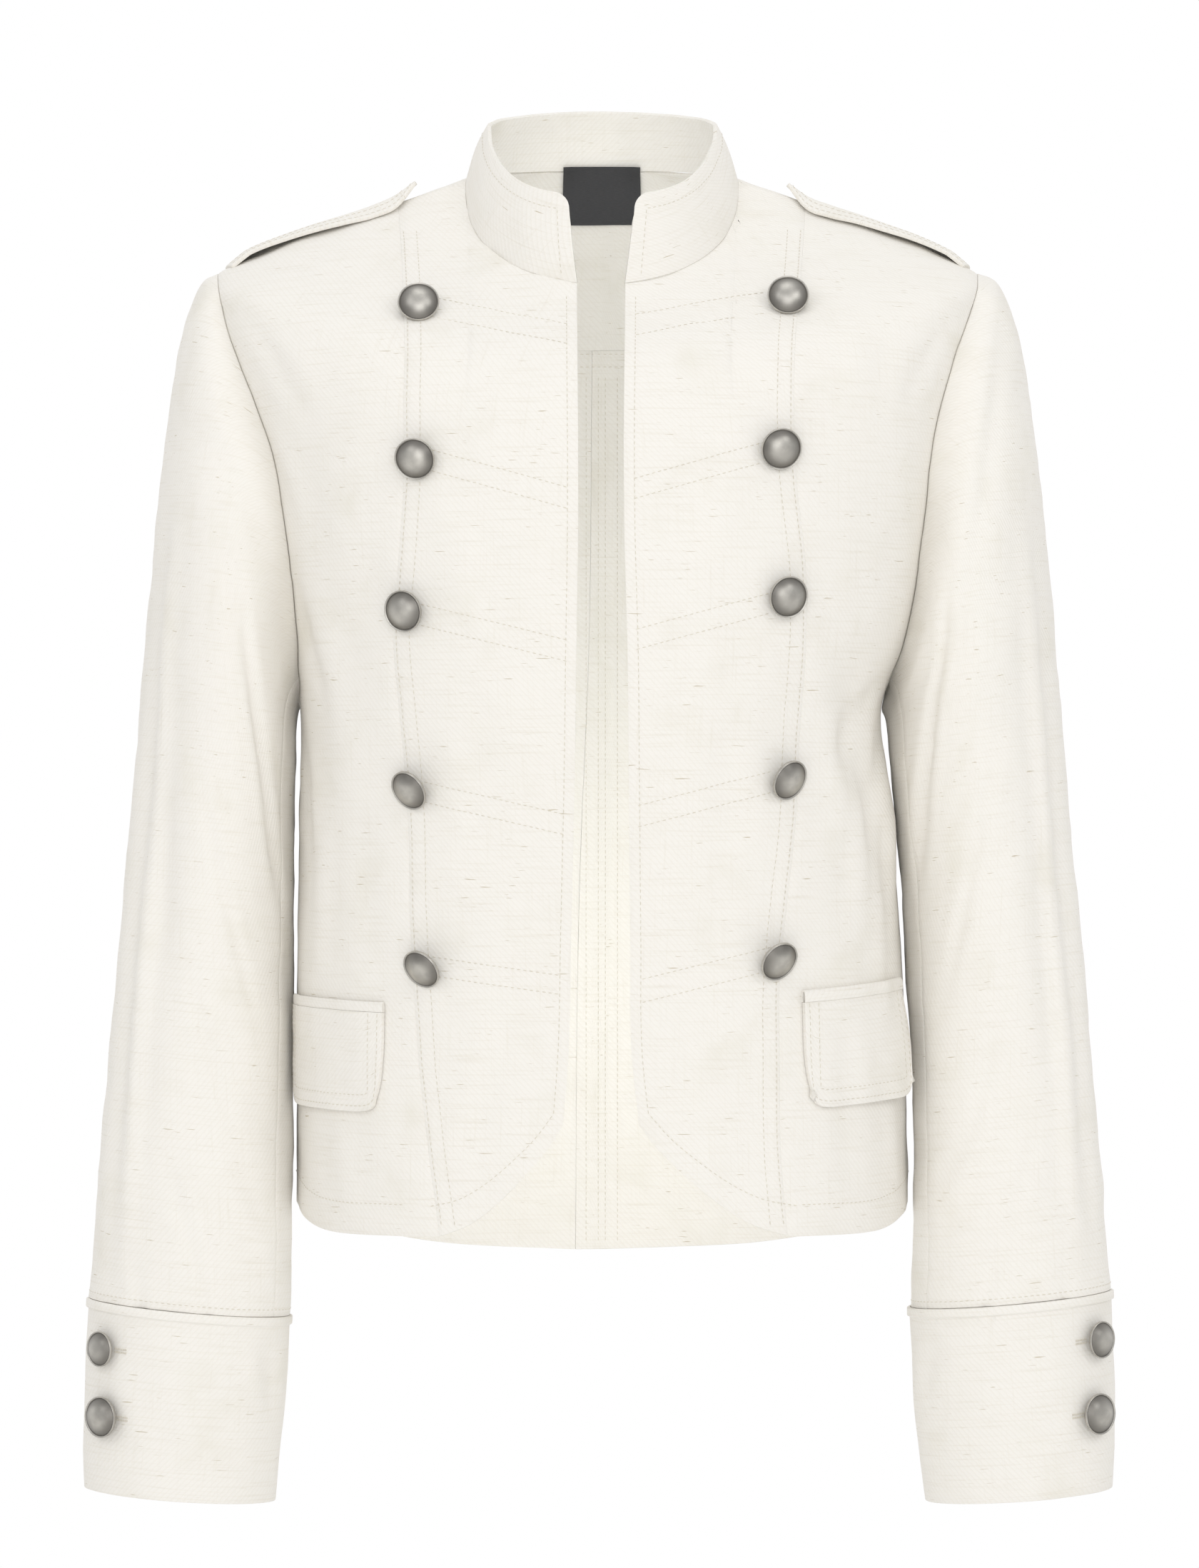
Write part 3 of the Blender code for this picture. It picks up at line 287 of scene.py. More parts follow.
SHANK_RADIUS = 2.3
SHANK_GAP = 0.3
FRONT_BUTTONS = {
    "side": (-1, -1, -1, -1, -1, 1, 1, 1, 1, 1),
    "row": (1, 2, 3, 4, 5, 1, 2, 3, 4, 5),
    "out": (87.5, 87, 91.5, 88.5, 82.5, 89, 83.5, 86, 85.5, 81),
    "height": (-68, -141, -213, -296.5, -381, -64, -136.5, -206.5, -292, -377.5),
    "droop": (29, 18, 8, 22, 28, 29, 18, 8, 20, 26),
    "turn": (-4, -2, 2, 14, 16, -4, -2, 2, 12, 14),
}
CUFF_BUTTONS = {
    "side": (-1, -1, 1, 1),
    "row": (1, 2, 1, 2),
    "around": (40, 43, 38, 42.5),
    "height": (-571.2, -603.4, -570.4, -604),
    "size": (0.86, 1.0, 0.9, 1.0),
}

# Outline of a button from the foot of its shank to the crown, on a 20 mm button.
BUTTON_RADIUS = 10.0
BUTTON_MIDDLE = 4.6
BUTTON = {
    "radius": (0.0, 2.3, 2.3, 3.4, 9.3, 9.85, 10.0, 9.97, 9.8, 9.5, 9.25, 9.0, 8.3, 7.0, 5.2, 3.2, 1.4, 0.0),
    "height": (0.0, 0.0, 2.9, 3.2, 3.5, 3.9, 4.6, 5.25, 5.55, 5.5, 5.2, 5.1, 5.7, 6.8, 7.8, 8.4, 8.7, 8.75),
}

# Fine creases of the body, each from one place to another: negative depth is a trough.
BODY_CREASES = (
    # side, start angle, start level, end angle, end level, width, depth
    (1, 40, -52, 47, -96, 5.0, -1.1),
    (1, 34, -44, 30, -74, 4.5, -0.9),
    (1, 22, -30, 19, -66, 5.0, 0.8),
    (1, 60, -62, 52, -118, 6.0, -1.2),
    (1, 76, -238, 47, -292, 7.0, -1.5),
    (1, 82, -262, 58, -330, 6.5, -1.4),
    (1, 70, -286, 62, -420, 7.0, 1.4),
    (1, 58, -250, 50, -372, 6.5, -1.3),
    (1, 47, -392, 50, -502, 7.5, -1.0),
    (1, 66, -430, 70, -505, 7.0, 1.0),
    (1, 18, -120, 15, -210, 7.0, 0.7),
    (1, 24, -250, 20, -340, 8.0, -0.8),
    (1, 12, -390, 17, -460, 6.0, 0.6),
    (-1, 38, -48, 45, -90, 5.0, -1.0),
    (-1, 30, -40, 27, -78, 4.5, -0.9),
    (-1, 58, -60, 50, -124, 6.0, -1.3),
    (-1, 64, -110, 58, -180, 6.5, 1.0),
    (-1, 74, -190, 60, -262, 7.0, -1.2),
    (-1, 80, -262, 68, -352, 7.0, -1.3),
    (-1, 60, -300, 66, -398, 7.5, 1.1),
    (-1, 48, -300, 45, -390, 7.0, -0.9),
    (-1, 56, -440, 52, -506, 7.0, 0.9),
    (-1, 20, -140, 16, -230, 8.0, -0.7),
    (-1, 25, -270, 22, -372, 8.0, 0.7),
    (-1, 14, -400, 22, -480, 6.5, -0.7),
    (1, 118, -110, 132, -190, 9.0, -1.4),
    (1, 108, -200, 126, -300, 9.0, -1.3),
    (1, 140, -250, 136, -420, 10.0, 1.3),
    (1, 165, -350, 160, -500, 9.0, -1.2),
    (1, 112, -400, 120, -505, 9.0, -1.0),
    (1, 140, -60, 128, -30, 7.0, -0.8),
    (1, 90, -180, 90, -600, 6.0, 0.25),
    (-1, 116, -112, 130, -184, 9.0, -1.3),
    (-1, 106, -210, 122, -318, 9.0, -1.4),
    (-1, 142, -240, 138, -400, 10.0, 1.2),
    (-1, 163, -330, 158, -480, 9.0, -1.1),
    (-1, 114, -390, 118, -500, 9.0, -1.1),
    (-1, 146, -58, 130, -32, 7.0, -0.8),
    (-1, 90, -180, 90, -600, 6.0, 0.25),
)

# Fine creases of the sleeves: places are degrees round the sleeve and millimetres down it.
SLEEVE_CREASES = (
    # side, start turn, start down, end turn, end down, width, depth
    (1, 47, 60, 50, 470, 5.0, 2.1),
    (1, 33, 90, 36, 500, 6.0, -1.5),
    (1, 64, 120, 60, 430, 9.0, -0.7),
    (1, 120, 40, 150, 120, 6.0, -1.8),
    (1, 100, 30, 140, 84, 5.5, -1.3),
    (1, 80, 150, 130, 190, 7.0, -1.2),
    (1, 75, 250, 120, 276, 7.0, -1.1),
    (1, 95, 300, 150, 268, 7.0, 1.0),
    (1, 70, 350, 118, 380, 7.0, -1.1),
    (1, 100, 430, 158, 470, 6.0, -1.8),
    (1, 88, 460, 150, 496, 5.0, -1.4),
    (1, 55, 440, 84, 492, 6.0, -1.0),
    (1, 262, 220, 300, 268, 8.0, -1.8),
    (1, 250, 276, 305, 300, 8.0, -1.6),
    (1, 256, 330, 296, 372, 8.0, -1.5),
    (1, 270, 80, 310, 150, 8.0, -1.3),
    (1, 170, -120, 170, 380, 7.0, 0.45),
    (-1, 48, 60, 50, 470, 5.0, 2.2),
    (-1, 34, 90, 37, 500, 6.0, -1.6),
    (-1, 66, 110, 62, 420, 9.0, -0.7),
    (-1, 118, 44, 150, 126, 6.0, -1.8),
    (-1, 98, 34, 138, 90, 5.5, -1.2),
    (-1, 82, 170, 132, 206, 7.0, -1.1),
    (-1, 78, 262, 124, 282, 7.0, -1.1),
    (-1, 98, 318, 150, 286, 7.0, 1.0),
    (-1, 72, 362, 116, 396, 7.0, -1.1),
    (-1, 98, 426, 158, 474, 6.0, -1.9),
    (-1, 86, 464, 148, 498, 5.0, -1.4),
    (-1, 57, 436, 82, 488, 6.0, -1.1),
    (-1, 260, 226, 302, 262, 8.0, -1.8),
    (-1, 252, 282, 300, 310, 8.0, -1.6),
    (-1, 258, 338, 298, 366, 8.0, -1.5),
    (-1, 268, 90, 308, 142, 8.0, -1.3),
    (-1, 170, -120, 170, 380, 7.0, 0.45),
)

# Fine creases of the cuffs: places are degrees round the cuff and millimetres below its band.
CUFF_CREASES = (
    # side, start turn, start down, end turn, end down, width, depth
    (1, 96, 6, 128, 34, 6.0, -1.0),
    (1, 140, 2, 158, 40, 6.0, -1.2),
    (1, 60, 30, 110, 52, 8.0, 0.8),
    (1, 30, 50, 66, 70, 7.0, -0.7),
    (-1, 100, 4, 132, 30, 6.0, -1.1),
    (-1, 142, 4, 156, 44, 6.0, -1.2),
    (-1, 70, 34, 116, 58, 8.0, 0.8),
    (-1, 34, 48, 70, 66, 7.0, -0.7),
)

# Parallel rows of stitching from each front button to the front edge.
BANDS = {
    "side": (1, 1, 1, 1, 1, -1, -1, -1, -1, -1),
    "outer": (71, 68, 72, 73, 79, 75, 74, 79, 78, 74),
    "outer_height": (-61, -136, -207, -291, -373, -64, -139, -212, -296, -379),
    "inner": (15.5, 14.5, 15.5, 16.5, 18.5, 16, 16, 16, 17.5, 20),
    "inner_height": (-71.5, -152, -223, -306, -388, -77, -156, -228, -310, -386),
    "apart": (10.5, 9.5, 9.5, 10, 11, 10, 10, 10, 9.5, 9.0),
}

# Stitching: how high the thread lies on either face, the least length of a stitch, and how far the rows
# keep from edges and seams.
STITCH_OUT = 0.1
INSIDE_STITCH = -0.15
STITCH_FLATNESS = 0.7
SHORTEST_STITCH = 0.2
EDGE_STITCH = 5.0
CORNER_STITCH = 9.0
HEM_STITCH = 15.0
PRINCESS_STITCHES = (1.6, 8.0)
BACK_STITCHES = (1.8, 8.0)
EPAULETTE_STITCHES = (2.0, 6.5)
# A cuff's buttonhole: start and length in degrees round the cuff, and its two lips.
HOLE_START = 8.0
HOLE_LONG = 9.0
HOLE_PITCH = 0.75
HOLE_LIP = 0.75
HOLE_BITE = 0.6
CUFF_OUT = 201.0

# Stage, in metres and watts. The light that reaches the inside has lost some of its yellow.
FLOOR_SIZE = 8.0
FLOOR_HEIGHT = -1.25
ROOM_LEVEL = 0.6
CAMERA_PLACE = (-0.00115, -3.0, -0.2956)
CAMERA_LENS = 140.4
CAMERA_SENSOR = 36.0
JACKET_MIDDLE = (0.0, 0.0, -0.3)
WHITE = (1.0, 1.0, 1.0)
INNER = (0.93, 0.97, 1.0)
LIGHTS = (
    # name, place, aim, width, height, power, colour
    ("front_light", (0.0, -3.4, 0.2), JACKET_MIDDLE, 2.4, 2.4, 32.0, WHITE),
    ("key_light_left", (-2.0, -2.2, 1.4), JACKET_MIDDLE, 1.2, 1.2, 8.0, WHITE),
    ("key_light_right", (2.0, -2.2, 1.4), JACKET_MIDDLE, 1.2, 1.2, 11.0, WHITE),
    ("top_light", (0.0, -0.6, 2.2), JACKET_MIDDLE, 1.6, 1.6, 8.0, WHITE),
    ("inner_light_left", (0.062, -0.045, -0.3), (0.03, 0.1, -0.3), 0.07, 0.42, 0.135, INNER),
    ("inner_light_right", (-0.062, -0.045, -0.3), (-0.03, 0.1, -0.3), 0.07, 0.42, 0.135, INNER),
    ("neck_light_left", (0.024, -0.036, -0.035), (0.02, 0.1, 0.03), 0.02, 0.02, 0.0085, INNER),
    ("neck_light_right", (-0.024, -0.036, -0.035), (-0.02, 0.1, 0.03), 0.02, 0.02, 0.0085, INNER),
)

def smooth_between(places, values, at):
    """Reads a smooth curve through a table's column."""
    places = np.asarray(places, dtype=float)
    values = np.asarray(values, dtype=float)
    if places[0] > places[-1]:
        places = places[::-1]
        values = values[::-1]
    slopes = np.gradient(values, places)
    at = np.clip(np.asarray(at, dtype=float), places[0], places[-1])
    cell = np.clip(np.searchsorted(places, at, side="right") - 1, 0, len(places) - 2)
    width = places[cell + 1] - places[cell]
    part = (at - places[cell]) / width
    square = part * part
    cube = square * part
    return (
        (2 * cube - 3 * square + 1) * values[cell]
        + (cube - 2 * square + part) * width * slopes[cell]
        + (3 * square - 2 * cube) * values[cell + 1]
        + (cube - square) * width * slopes[cell + 1]
    )


def torso_column(name, level):
    return smooth_between(TORSO["level"], TORSO[name], level)


def bare_torso(side, angle, level):
    """The body without folds: the angle runs from 0 at centre front to 180 at centre back."""
    angle = np.radians(angle)
    width = body_width(side, level)
    power = 2.0 / torso_column("square", level)
    sine = np.sin(angle)
    cosine = np.cos(angle)
    ahead = cosine > 0
    reach = np.abs(cosine) ** power
    depth = np.where(ahead, -torso_column("front", level), torso_column("back", level))
    change = np.where(ahead, torso_column("front_drop", level), torso_column("back_rise", level))
    lean = np.abs(cosine) ** torso_column("tilt", level)
    across = side * width * np.sign(sine) * np.abs(sine) ** power
    return np.stack((across, depth * reach, level + change * lean), axis=-1)


def torso_normal(side, angle, level):
    """The outward direction, from the points just beside, above and below."""
    low = np.maximum(level - NORMAL_LEVEL, TORSO["level"][-1])
    high = np.minimum(level + NORMAL_LEVEL, 0.0)
    across = bare_torso(side, angle + NORMAL_ANGLE, level) - bare_torso(side, angle - NORMAL_ANGLE, level)
    upward = bare_torso(side, angle, high) - bare_torso(side, angle, low)
    return unit(np.cross(upward, across) * np.asarray(side)[..., None] * -1.0)


def unit(way):
    """The same directions, with a length of one."""
    return way / np.maximum(np.linalg.norm(way, axis=-1, keepdims=True), 1e-9)


def distance_along(line):
    """How far each point of a line is from its start."""
    return np.concatenate(([0.0], np.linalg.norm(np.diff(line, axis=0), axis=-1).cumsum()))


def rows_of(table):
    """Reads a table of columns row by row."""
    return [dict(zip(table, values)) for values in zip(*table.values())]


def broad_folds(table, side, around, down):
    """Adds up the broad folds of one side: each fades out along its reach and across its spread."""
    total = np.zeros(np.broadcast(around, down).shape)
    for row_side, centre, lean, middle, reach, spread, depth in zip(*table.values()):
        along = (down - middle) / reach
        across = (around - centre - lean * along) / spread
        fade = np.clip(1.0 - along * along, 0.0, 1.0) ** 1.5
        total = total + (np.asarray(side) == row_side) * depth * fade * np.exp(-across * across)
    return total


def soft_line(places, across_scale, rows, side):
    """Adds up the creases of one side at places given as degrees and millimetres."""
    total = np.zeros(places[0].shape)
    across = places[0] * across_scale
    for row_side, angle_a, level_a, angle_b, level_b, width, depth in rows:
        start = angle_a * across_scale
        end = angle_b * across_scale
        length = math.hypot(end - start, level_b - level_a)
        dx = (end - start) / length
        dz = (level_b - level_a) / length
        along = ((across - start) * dx + (places[1] - level_a) * dz) / length
        away = ((across - start) * dz - (places[1] - level_a) * dx) / width
        fade = np.clip(1.0 - (2.0 * along - 1.0) ** 2, 0.0, 1.0)
        fade = fade * fade * (3.0 - 2.0 * fade)
        beside = np.exp(-((np.abs(away) - CREASE_SIDE) ** 2))
        total = total + (side == row_side) * depth * fade * (np.exp(-away * away) - CREASE_RISE * beside)
    return total * bpy.context.scene.jacket_sizes.crease


def rumple(points, part):
    """The gentle uneven surface of a part's linen, the same on each run."""
    total = 0.0
    for size, seed, strength in RUMPLES[part]:
        numbers = np.random.default_rng(seed)
        waves = numbers.normal(size=(RUMPLE_WAVES, 3)) / size * 2.2
        starts = numbers.uniform(0.0, 2.0 * math.pi, RUMPLE_WAVES)
        height = np.sin(points @ waves.T + starts).sum(axis=-1) / math.sqrt(RUMPLE_WAVES / 2)
        total = total + height * strength
    return total * bpy.context.scene.jacket_sizes.rumple


def torso(side, angle, level, out=0.0):
    """A point on the finished cloth of the body, moved outward."""
    side = np.asarray(side, dtype=float)
    angle = np.asarray(angle, dtype=float)
    level = np.asarray(level, dtype=float)
    base = bare_torso(side, angle, level)
    away = broad_folds(BODY_FOLDS, side, angle, level) + rumple(base, "body") + out
    away = away + soft_line((angle, level), MM_PER_DEGREE_BODY, BODY_CREASES, side)
    return base + torso_normal(side, angle, level) * np.asarray(away)[..., None]


def body_width(side, level):
    on_left = np.asarray(side) > 0
    return np.where(on_left, torso_column("left_width", level), torso_column("right_width", level))


def angle_for(side, out, level, rear=False):
    """The angle at which a ring lies this far out from the middle."""
    share = np.minimum(np.abs(out) / body_width(side, level), 1.0)
    angle = np.degrees(np.arcsin(share ** (torso_column("square", level) / 2.0)))
    return 180.0 - angle if rear else angle


def halve(low, high, is_low):
    """Narrows a span of numbers until the test changes inside it."""
    for _ in range(HALVINGS):
        middle = (low + high) / 2.0
        under = is_low(middle)
        low = np.where(under, middle, low)
        high = np.where(under, high, middle)
    return low


def shoulder_level(side, out):
    """The level at which the shoulder seam lies this far out."""
    low = np.full(np.shape(out), TIP)
    high = np.zeros(np.shape(out))
    return halve(low, high, lambda level: body_width(side, level) > out)


def place_on_body(side, out, height, rear=False):
    """The angles and levels of the points seen at these distances out and heights."""
    out = np.abs(np.asarray(out, dtype=float))
    height = np.asarray(height, dtype=float)
    low = np.full(np.broadcast(out, height).shape, float(TORSO["level"][-1]))
    high = np.where(out > TORSO["right_width"][0], shoulder_level(side, out), 0.0) + low * 0.0

    def is_low(level):
        angle = angle_for(side, out, level, rear)
        return bare_torso(side, angle, level)[..., 2] < height

    level = halve(low, high, is_low)
    return pairs(angle_for(side, out, level, rear), level)


def arm_levels():
    """Levels of the armhole's stitches from the shoulder tip to the underarm."""
    turn = np.linspace(0.0, math.pi, ARM_STEPS + 1)
    return UNDERARM + (TIP - UNDERARM) * (1.0 + np.cos(turn)) / 2.0


def armhole(side, rear):
    """Angle and level of the armhole seam from the shoulder tip down to the underarm."""
    levels = arm_levels()
    out = smooth_between(ARMHOLE["level"], ARMHOLE[SIDE_NAMES[side]], levels)
    seam = pairs(angle_for(side, out, levels, rear), levels)
    seam[0] = (90.0, TIP)
    seam[-1] = (90.0, UNDERARM)
    return seam


def hem_height(angle):
    return float(smooth_between(HEM["angle"], HEM["height"], angle))


def pairs(angles, levels):
    """Places on the body: an angle and a level for each."""
    return np.stack(np.broadcast_arrays(angles, levels), axis=-1)


def side_seam():
    """From the underarm down to the hem."""
    return pairs(90.0, np.linspace(UNDERARM, hem_height(90.0), SIDE_STEPS + 1))


def side_chain(side, rear):
    """Hem, underarm, then up the armhole to the shoulder tip."""
    return np.concatenate((side_seam()[::-1], armhole(side, rear)[::-1][1:]))


def share_along(levels):
    return (levels - levels[0]) / (levels[-1] - levels[0])


def seam_on_front(side, table, share, bottom, top):
    """A seam read from a table of heights and distances out, at shares of its height."""
    height = bottom + (top - bottom) * share
    out = smooth_between(table["height"], table[SIDE_NAMES[side]], height)
    return place_on_body(side, out, height)


def princess(side):
    """The panel seam from the hem up to the shoulder."""
    share = share_along(side_chain(side, False)[:, 1])
    top = float(shoulder_level(side, PRINCESS_SHOULDER_X))
    seam = seam_on_front(side, PRINCESS, share, CUTAWAY["height"][-1], top)
    seam[-1] = (90.0, top)
    return seam


def shoulder_seam(side):
    """From the neck point out to the shoulder tip, with a sample on the princess seam."""
    split = float(shoulder_level(side, PRINCESS_SHOULDER_X))
    inner = np.linspace(0.0, split, CENTRE_SHOULDER_STEPS + 1)
    outer = np.linspace(split, TIP, SIDE_SHOULDER_STEPS + 1)
    return pairs(90.0, np.concatenate((inner, outer[1:])))


def front_edge(side):
    """The open edge of the front, from the corner up to the neck."""
    share = share_along(side_chain(side, False)[:, 1])
    seam = seam_on_front(side, FRONT_EDGE, share, FRONT_EDGE["height"][-1], FRONT_EDGE["height"][0])
    seam[-1] = (front_neck_angle(side), 0.0)
    return seam


def front_neck_angle(side):
    return float(angle_for(side, FRONT_EDGE[SIDE_NAMES[side]][0], 0.0))


def front_neckline(side):
    """From the front edge round to the neck point."""
    return pairs(np.linspace(front_neck_angle(side), 90.0, FRONT_NECK_STEPS + 1), 0.0)


def cutaway_ends(side):
    """How far out the rounded corner starts at the front edge and ends at the princess seam."""
    column = SIDE_NAMES[side]
    end = smooth_between(PRINCESS["height"], PRINCESS[column], CUTAWAY["height"][-1])
    return FRONT_EDGE[column][-1], float(end)


def cutaway(side):
    """The lower edge of the centre panel, round its corner."""
    start, end = cutaway_ends(side)
    share = np.linspace(0.0, 1.0, FRONT_NECK_STEPS + CENTRE_SHOULDER_STEPS + 1)
    height = smooth_between(CUTAWAY["out"], CUTAWAY["height"], share)
    return place_on_body(side, start + (end - start) * share, height)


def hem(start, end, steps):
    angles = np.linspace(start, end, steps + 1)
    return np.array([(angle, hem_height(angle)) for angle in angles])


def fill_patch(left, right, bottom, top):
    """A smooth sheet of places between four edges that share their corners."""
    up = share_along(left[:, 1])[:, None, None]
    over = np.linspace(0.0, 1.0, len(bottom))[None, :, None]
    corners = (
        (1 - over) * (1 - up) * bottom[0]
        + over * (1 - up) * bottom[-1]
        + (1 - over) * up * top[0]
        + over * up * top[-1]
    )
    sides = (1 - over) * left[:, None, :] + over * right[:, None, :]
    ends = (1 - up) * bottom[None, :, :] + up * top[None, :, :]
    return sides + ends - corners


def front_side_places(side):
    """The side panel, from the princess seam round to the side seam and armhole."""
    chain = side_chain(side, False)
    seam = princess(side)
    top = shoulder_seam(side)[CENTRE_SHOULDER_STEPS:]
    bottom = hem(seam[0][0], 90.0, SIDE_SHOULDER_STEPS)
    bottom[0] = seam[0]
    return fill_patch(seam, chain, bottom, top)


def seen_from_front(side, places):
    return bare_torso(side, places[..., 0], places[..., 1])[..., (0, 2)]


def front_centre_places(side):
    """The sheet is filled as seen from the front, then placed on the body."""
    seam = princess(side)
    edge = front_edge(side)
    shoulder = shoulder_seam(side)[: CENTRE_SHOULDER_STEPS + 1]
    top = np.concatenate((front_neckline(side), shoulder[1:]))
    bottom = cutaway(side)
    bottom[0] = edge[0]
    bottom[-1] = seam[0]
    seen = [seen_from_front(side, line) for line in (edge, seam, bottom, top)]
    sheet = fill_patch(*seen)
    places = place_on_body(side, sheet[..., 0], sheet[..., 1])
    places[:, 0] = edge
    places[:, -1] = seam
    places[0] = bottom
    places[-1] = top
    return places


def yoke_seam(side):
    """From the armhole to centre back."""
    start = armhole(side, True)[YOKE_ARM_STEP]
    end = place_on_body(side, 0.0, YOKE_DROP, rear=True)
    share = np.linspace(0.0, 1.0, BACK_STEPS + 1)[:, None]
    return start * (1 - share) + np.array(end) * share


def centre_back(side, levels):
    """The angle of the centre seam, past the middle on the wearer's left."""
    out = smooth_between(CENTRE_BACK["level"], CENTRE_BACK["out"], levels)
    past = 180.0 - angle_for(side, out, levels, rear=True)
    return 180.0 + side * past


def back_places(side):
    """The back panel below the yoke, from the side seam and armhole to the centre seam."""
    chain = side_chain(side, True)
    chain = chain[: len(chain) - YOKE_ARM_STEP]
    start = chain[-1]
    end = place_on_body(side, 0.0, YOKE_DROP, rear=True)
    low = hem_height(180.0)
    levels = low + (end[1] - low) * share_along(chain[:, 1])
    middle = pairs(centre_back(side, levels), levels)
    top = start + (middle[-1] - start) * np.linspace(0.0, 1.0, BACK_STEPS + 1)[:, None]
    bottom = hem(90.0, middle[0][0], BACK_STEPS)
    return fill_patch(chain, middle, bottom, top)


def yoke_places():
    """Both halves of the yoke as one grid: the side of each column, and its angles and levels."""
    halves = []
    for side in (-1, 1):
        armhole_part = armhole(side, True)[: YOKE_ARM_STEP + 1][::-1]
        chain = np.concatenate((armhole_part, shoulder_seam(side)[::-1][1:]))
        neck = pairs(np.linspace(90.0, 180.0, BACK_STEPS + 1), 0.0)
        bottom = yoke_seam(side)
        levels = bottom[-1][1] * (1.0 - share_along(chain[:, 1]))
        halves.append(fill_patch(chain, pairs(180.0, levels), bottom, neck))
    right, left = halves
    places = np.concatenate((right, left[:, ::-1][:, 1:]), axis=1)
    sides = np.ones(places.shape[:2])
    sides[:, : right.shape[1]] = -1.0
    return sides, places


def sleeve_rows():
    rows = len(SLEEVE["middle"])
    return np.linspace(0, rows - 1, (rows - 1) * RINGS_PER_ROW + 1)


def sleeve_column(name, at):
    return smooth_between(range(len(SLEEVE[name])), SLEEVE[name], at)


def arm_ring(side):
    """The armhole seam as a closed ring: shoulder tip, front, underarm, back."""
    front = armhole(side, False)
    rear = armhole(side, True)[::-1]
    places = np.concatenate((front, rear[1:-1]))
    return torso(np.full(len(places), float(side)), places[:, 0], places[:, 1])


def sleeve_ellipse(side, at, turn):
    """A plain ring of the sleeve, tilted from its outer to its inner edge."""
    outer_x = sleeve_column(SIDE_NAMES[side] + "_outer", at)
    inner_x = sleeve_column(SIDE_NAMES[side] + "_inner", at)
    rise = sleeve_column("left_rise", at) * (side > 0)
    outer_z = sleeve_column("outer_height", at) + rise
    inner_z = sleeve_column("inner_height", at) + rise
    middle = sleeve_column("middle", at)
    deep = sleeve_column("deep", at)
    along = np.cos(turn)
    x = side * ((outer_x + inner_x) / 2 + (outer_x - inner_x) / 2 * along)
    z = (outer_z + inner_z) / 2 + (outer_z - inner_z) / 2 * along
    return np.stack((x, middle - deep * np.sin(turn), z), axis=-1)


def ring_normals(grid):
    """Outward normals of a grid of closed rings."""
    around = np.roll(grid, -1, axis=1) - np.roll(grid, 1, axis=1)
    normal = unit(np.cross(around, np.gradient(grid, axis=0)))
    outward = np.sum(normal * (grid - grid.mean(axis=1, keepdims=True)))
    return -normal if outward < 0 else normal


def sleeve_cloth(side):
    """The finished outer face of a sleeve, ring by ring from the armhole to the cuff."""
    rows = sleeve_rows()
    count = ARM_STEPS * 2
    turn = np.arange(count) * 2 * math.pi / count
    grid = np.zeros((len(rows), count, 3))
    ring = arm_ring(side)
    own = sleeve_ellipse(side, 0.0, turn)
    for row, at in enumerate(rows):
        keep = float(sleeve_column("seam_share", at))
        grid[row] = sleeve_ellipse(side, at, turn) + (ring - own) * keep
    grid[0] = ring
    grid[0] += unit(grid[1] - grid[0]) * SEAM_GAP
    share = (rows / rows[-1])[:, None]
    degrees = np.broadcast_to(np.degrees(turn)[None, :], grid.shape[:2])
    steps = np.linalg.norm(np.diff(grid, axis=0), axis=-1)
    down = np.concatenate((np.zeros((1, count)), steps.cumsum(axis=0)))
    away = broad_folds(SLEEVE_FOLDS, side, degrees, share) + rumple(grid, "sleeve")
    away = away + soft_line((degrees, down), MM_PER_DEGREE_SLEEVE, SLEEVE_CREASES, side)
    settle = np.clip(share / SLEEVE_SETTLE, 0.0, 1.0)
    return grid + ring_normals(grid) * (away * settle)[..., None]


def take_columns(grid, start, end):
    columns = [index % grid.shape[1] for index in range(start, end + 1)]
    return grid[:, columns]


def cuff_column(name, height):
    return np.interp(-height, [-value for value in CUFF["height"]], CUFF[name])


def cuff_ring(side, height, turn, out):
    """Points round the cuff at a ring's height, moved outward."""
    outer_x = cuff_column(SIDE_NAMES[side] + "_outer", height)
    inner_x = cuff_column(SIDE_NAMES[side] + "_inner", height)
    across = (outer_x - inner_x) / 2 + out
    deep = cuff_column("deep", height) + out
    rise = cuff_column("tilt", height) * np.cos(turn) + cuff_column("left_rise", height) * (side > 0)
    x = side * ((outer_x + inner_x) / 2 + across * np.cos(turn))
    return np.stack((x, CUFF_MIDDLE - deep * np.sin(turn), height + rise), axis=-1)


def collar_rim(side, angle):
    """The collar's top rim at the same angles as the neck seam below it."""
    angle = np.radians(angle)
    cosine = np.cos(angle)
    ahead = cosine > 0
    depth = np.where(ahead, COLLAR_FRONT, COLLAR_BACK)
    change = np.where(ahead, COLLAR_FRONT_DROP, COLLAR_BACK_RISE)
    lift = np.where(ahead, COLLAR_FRONT_LIFT, 0.0) * np.abs(cosine) ** COLLAR_LIFT_POWER
    height = COLLAR_SIDE_HEIGHT + change * np.abs(cosine) + lift
    return np.stack((side * COLLAR_WIDE * np.abs(np.sin(angle)), -depth * cosine, height), axis=-1)


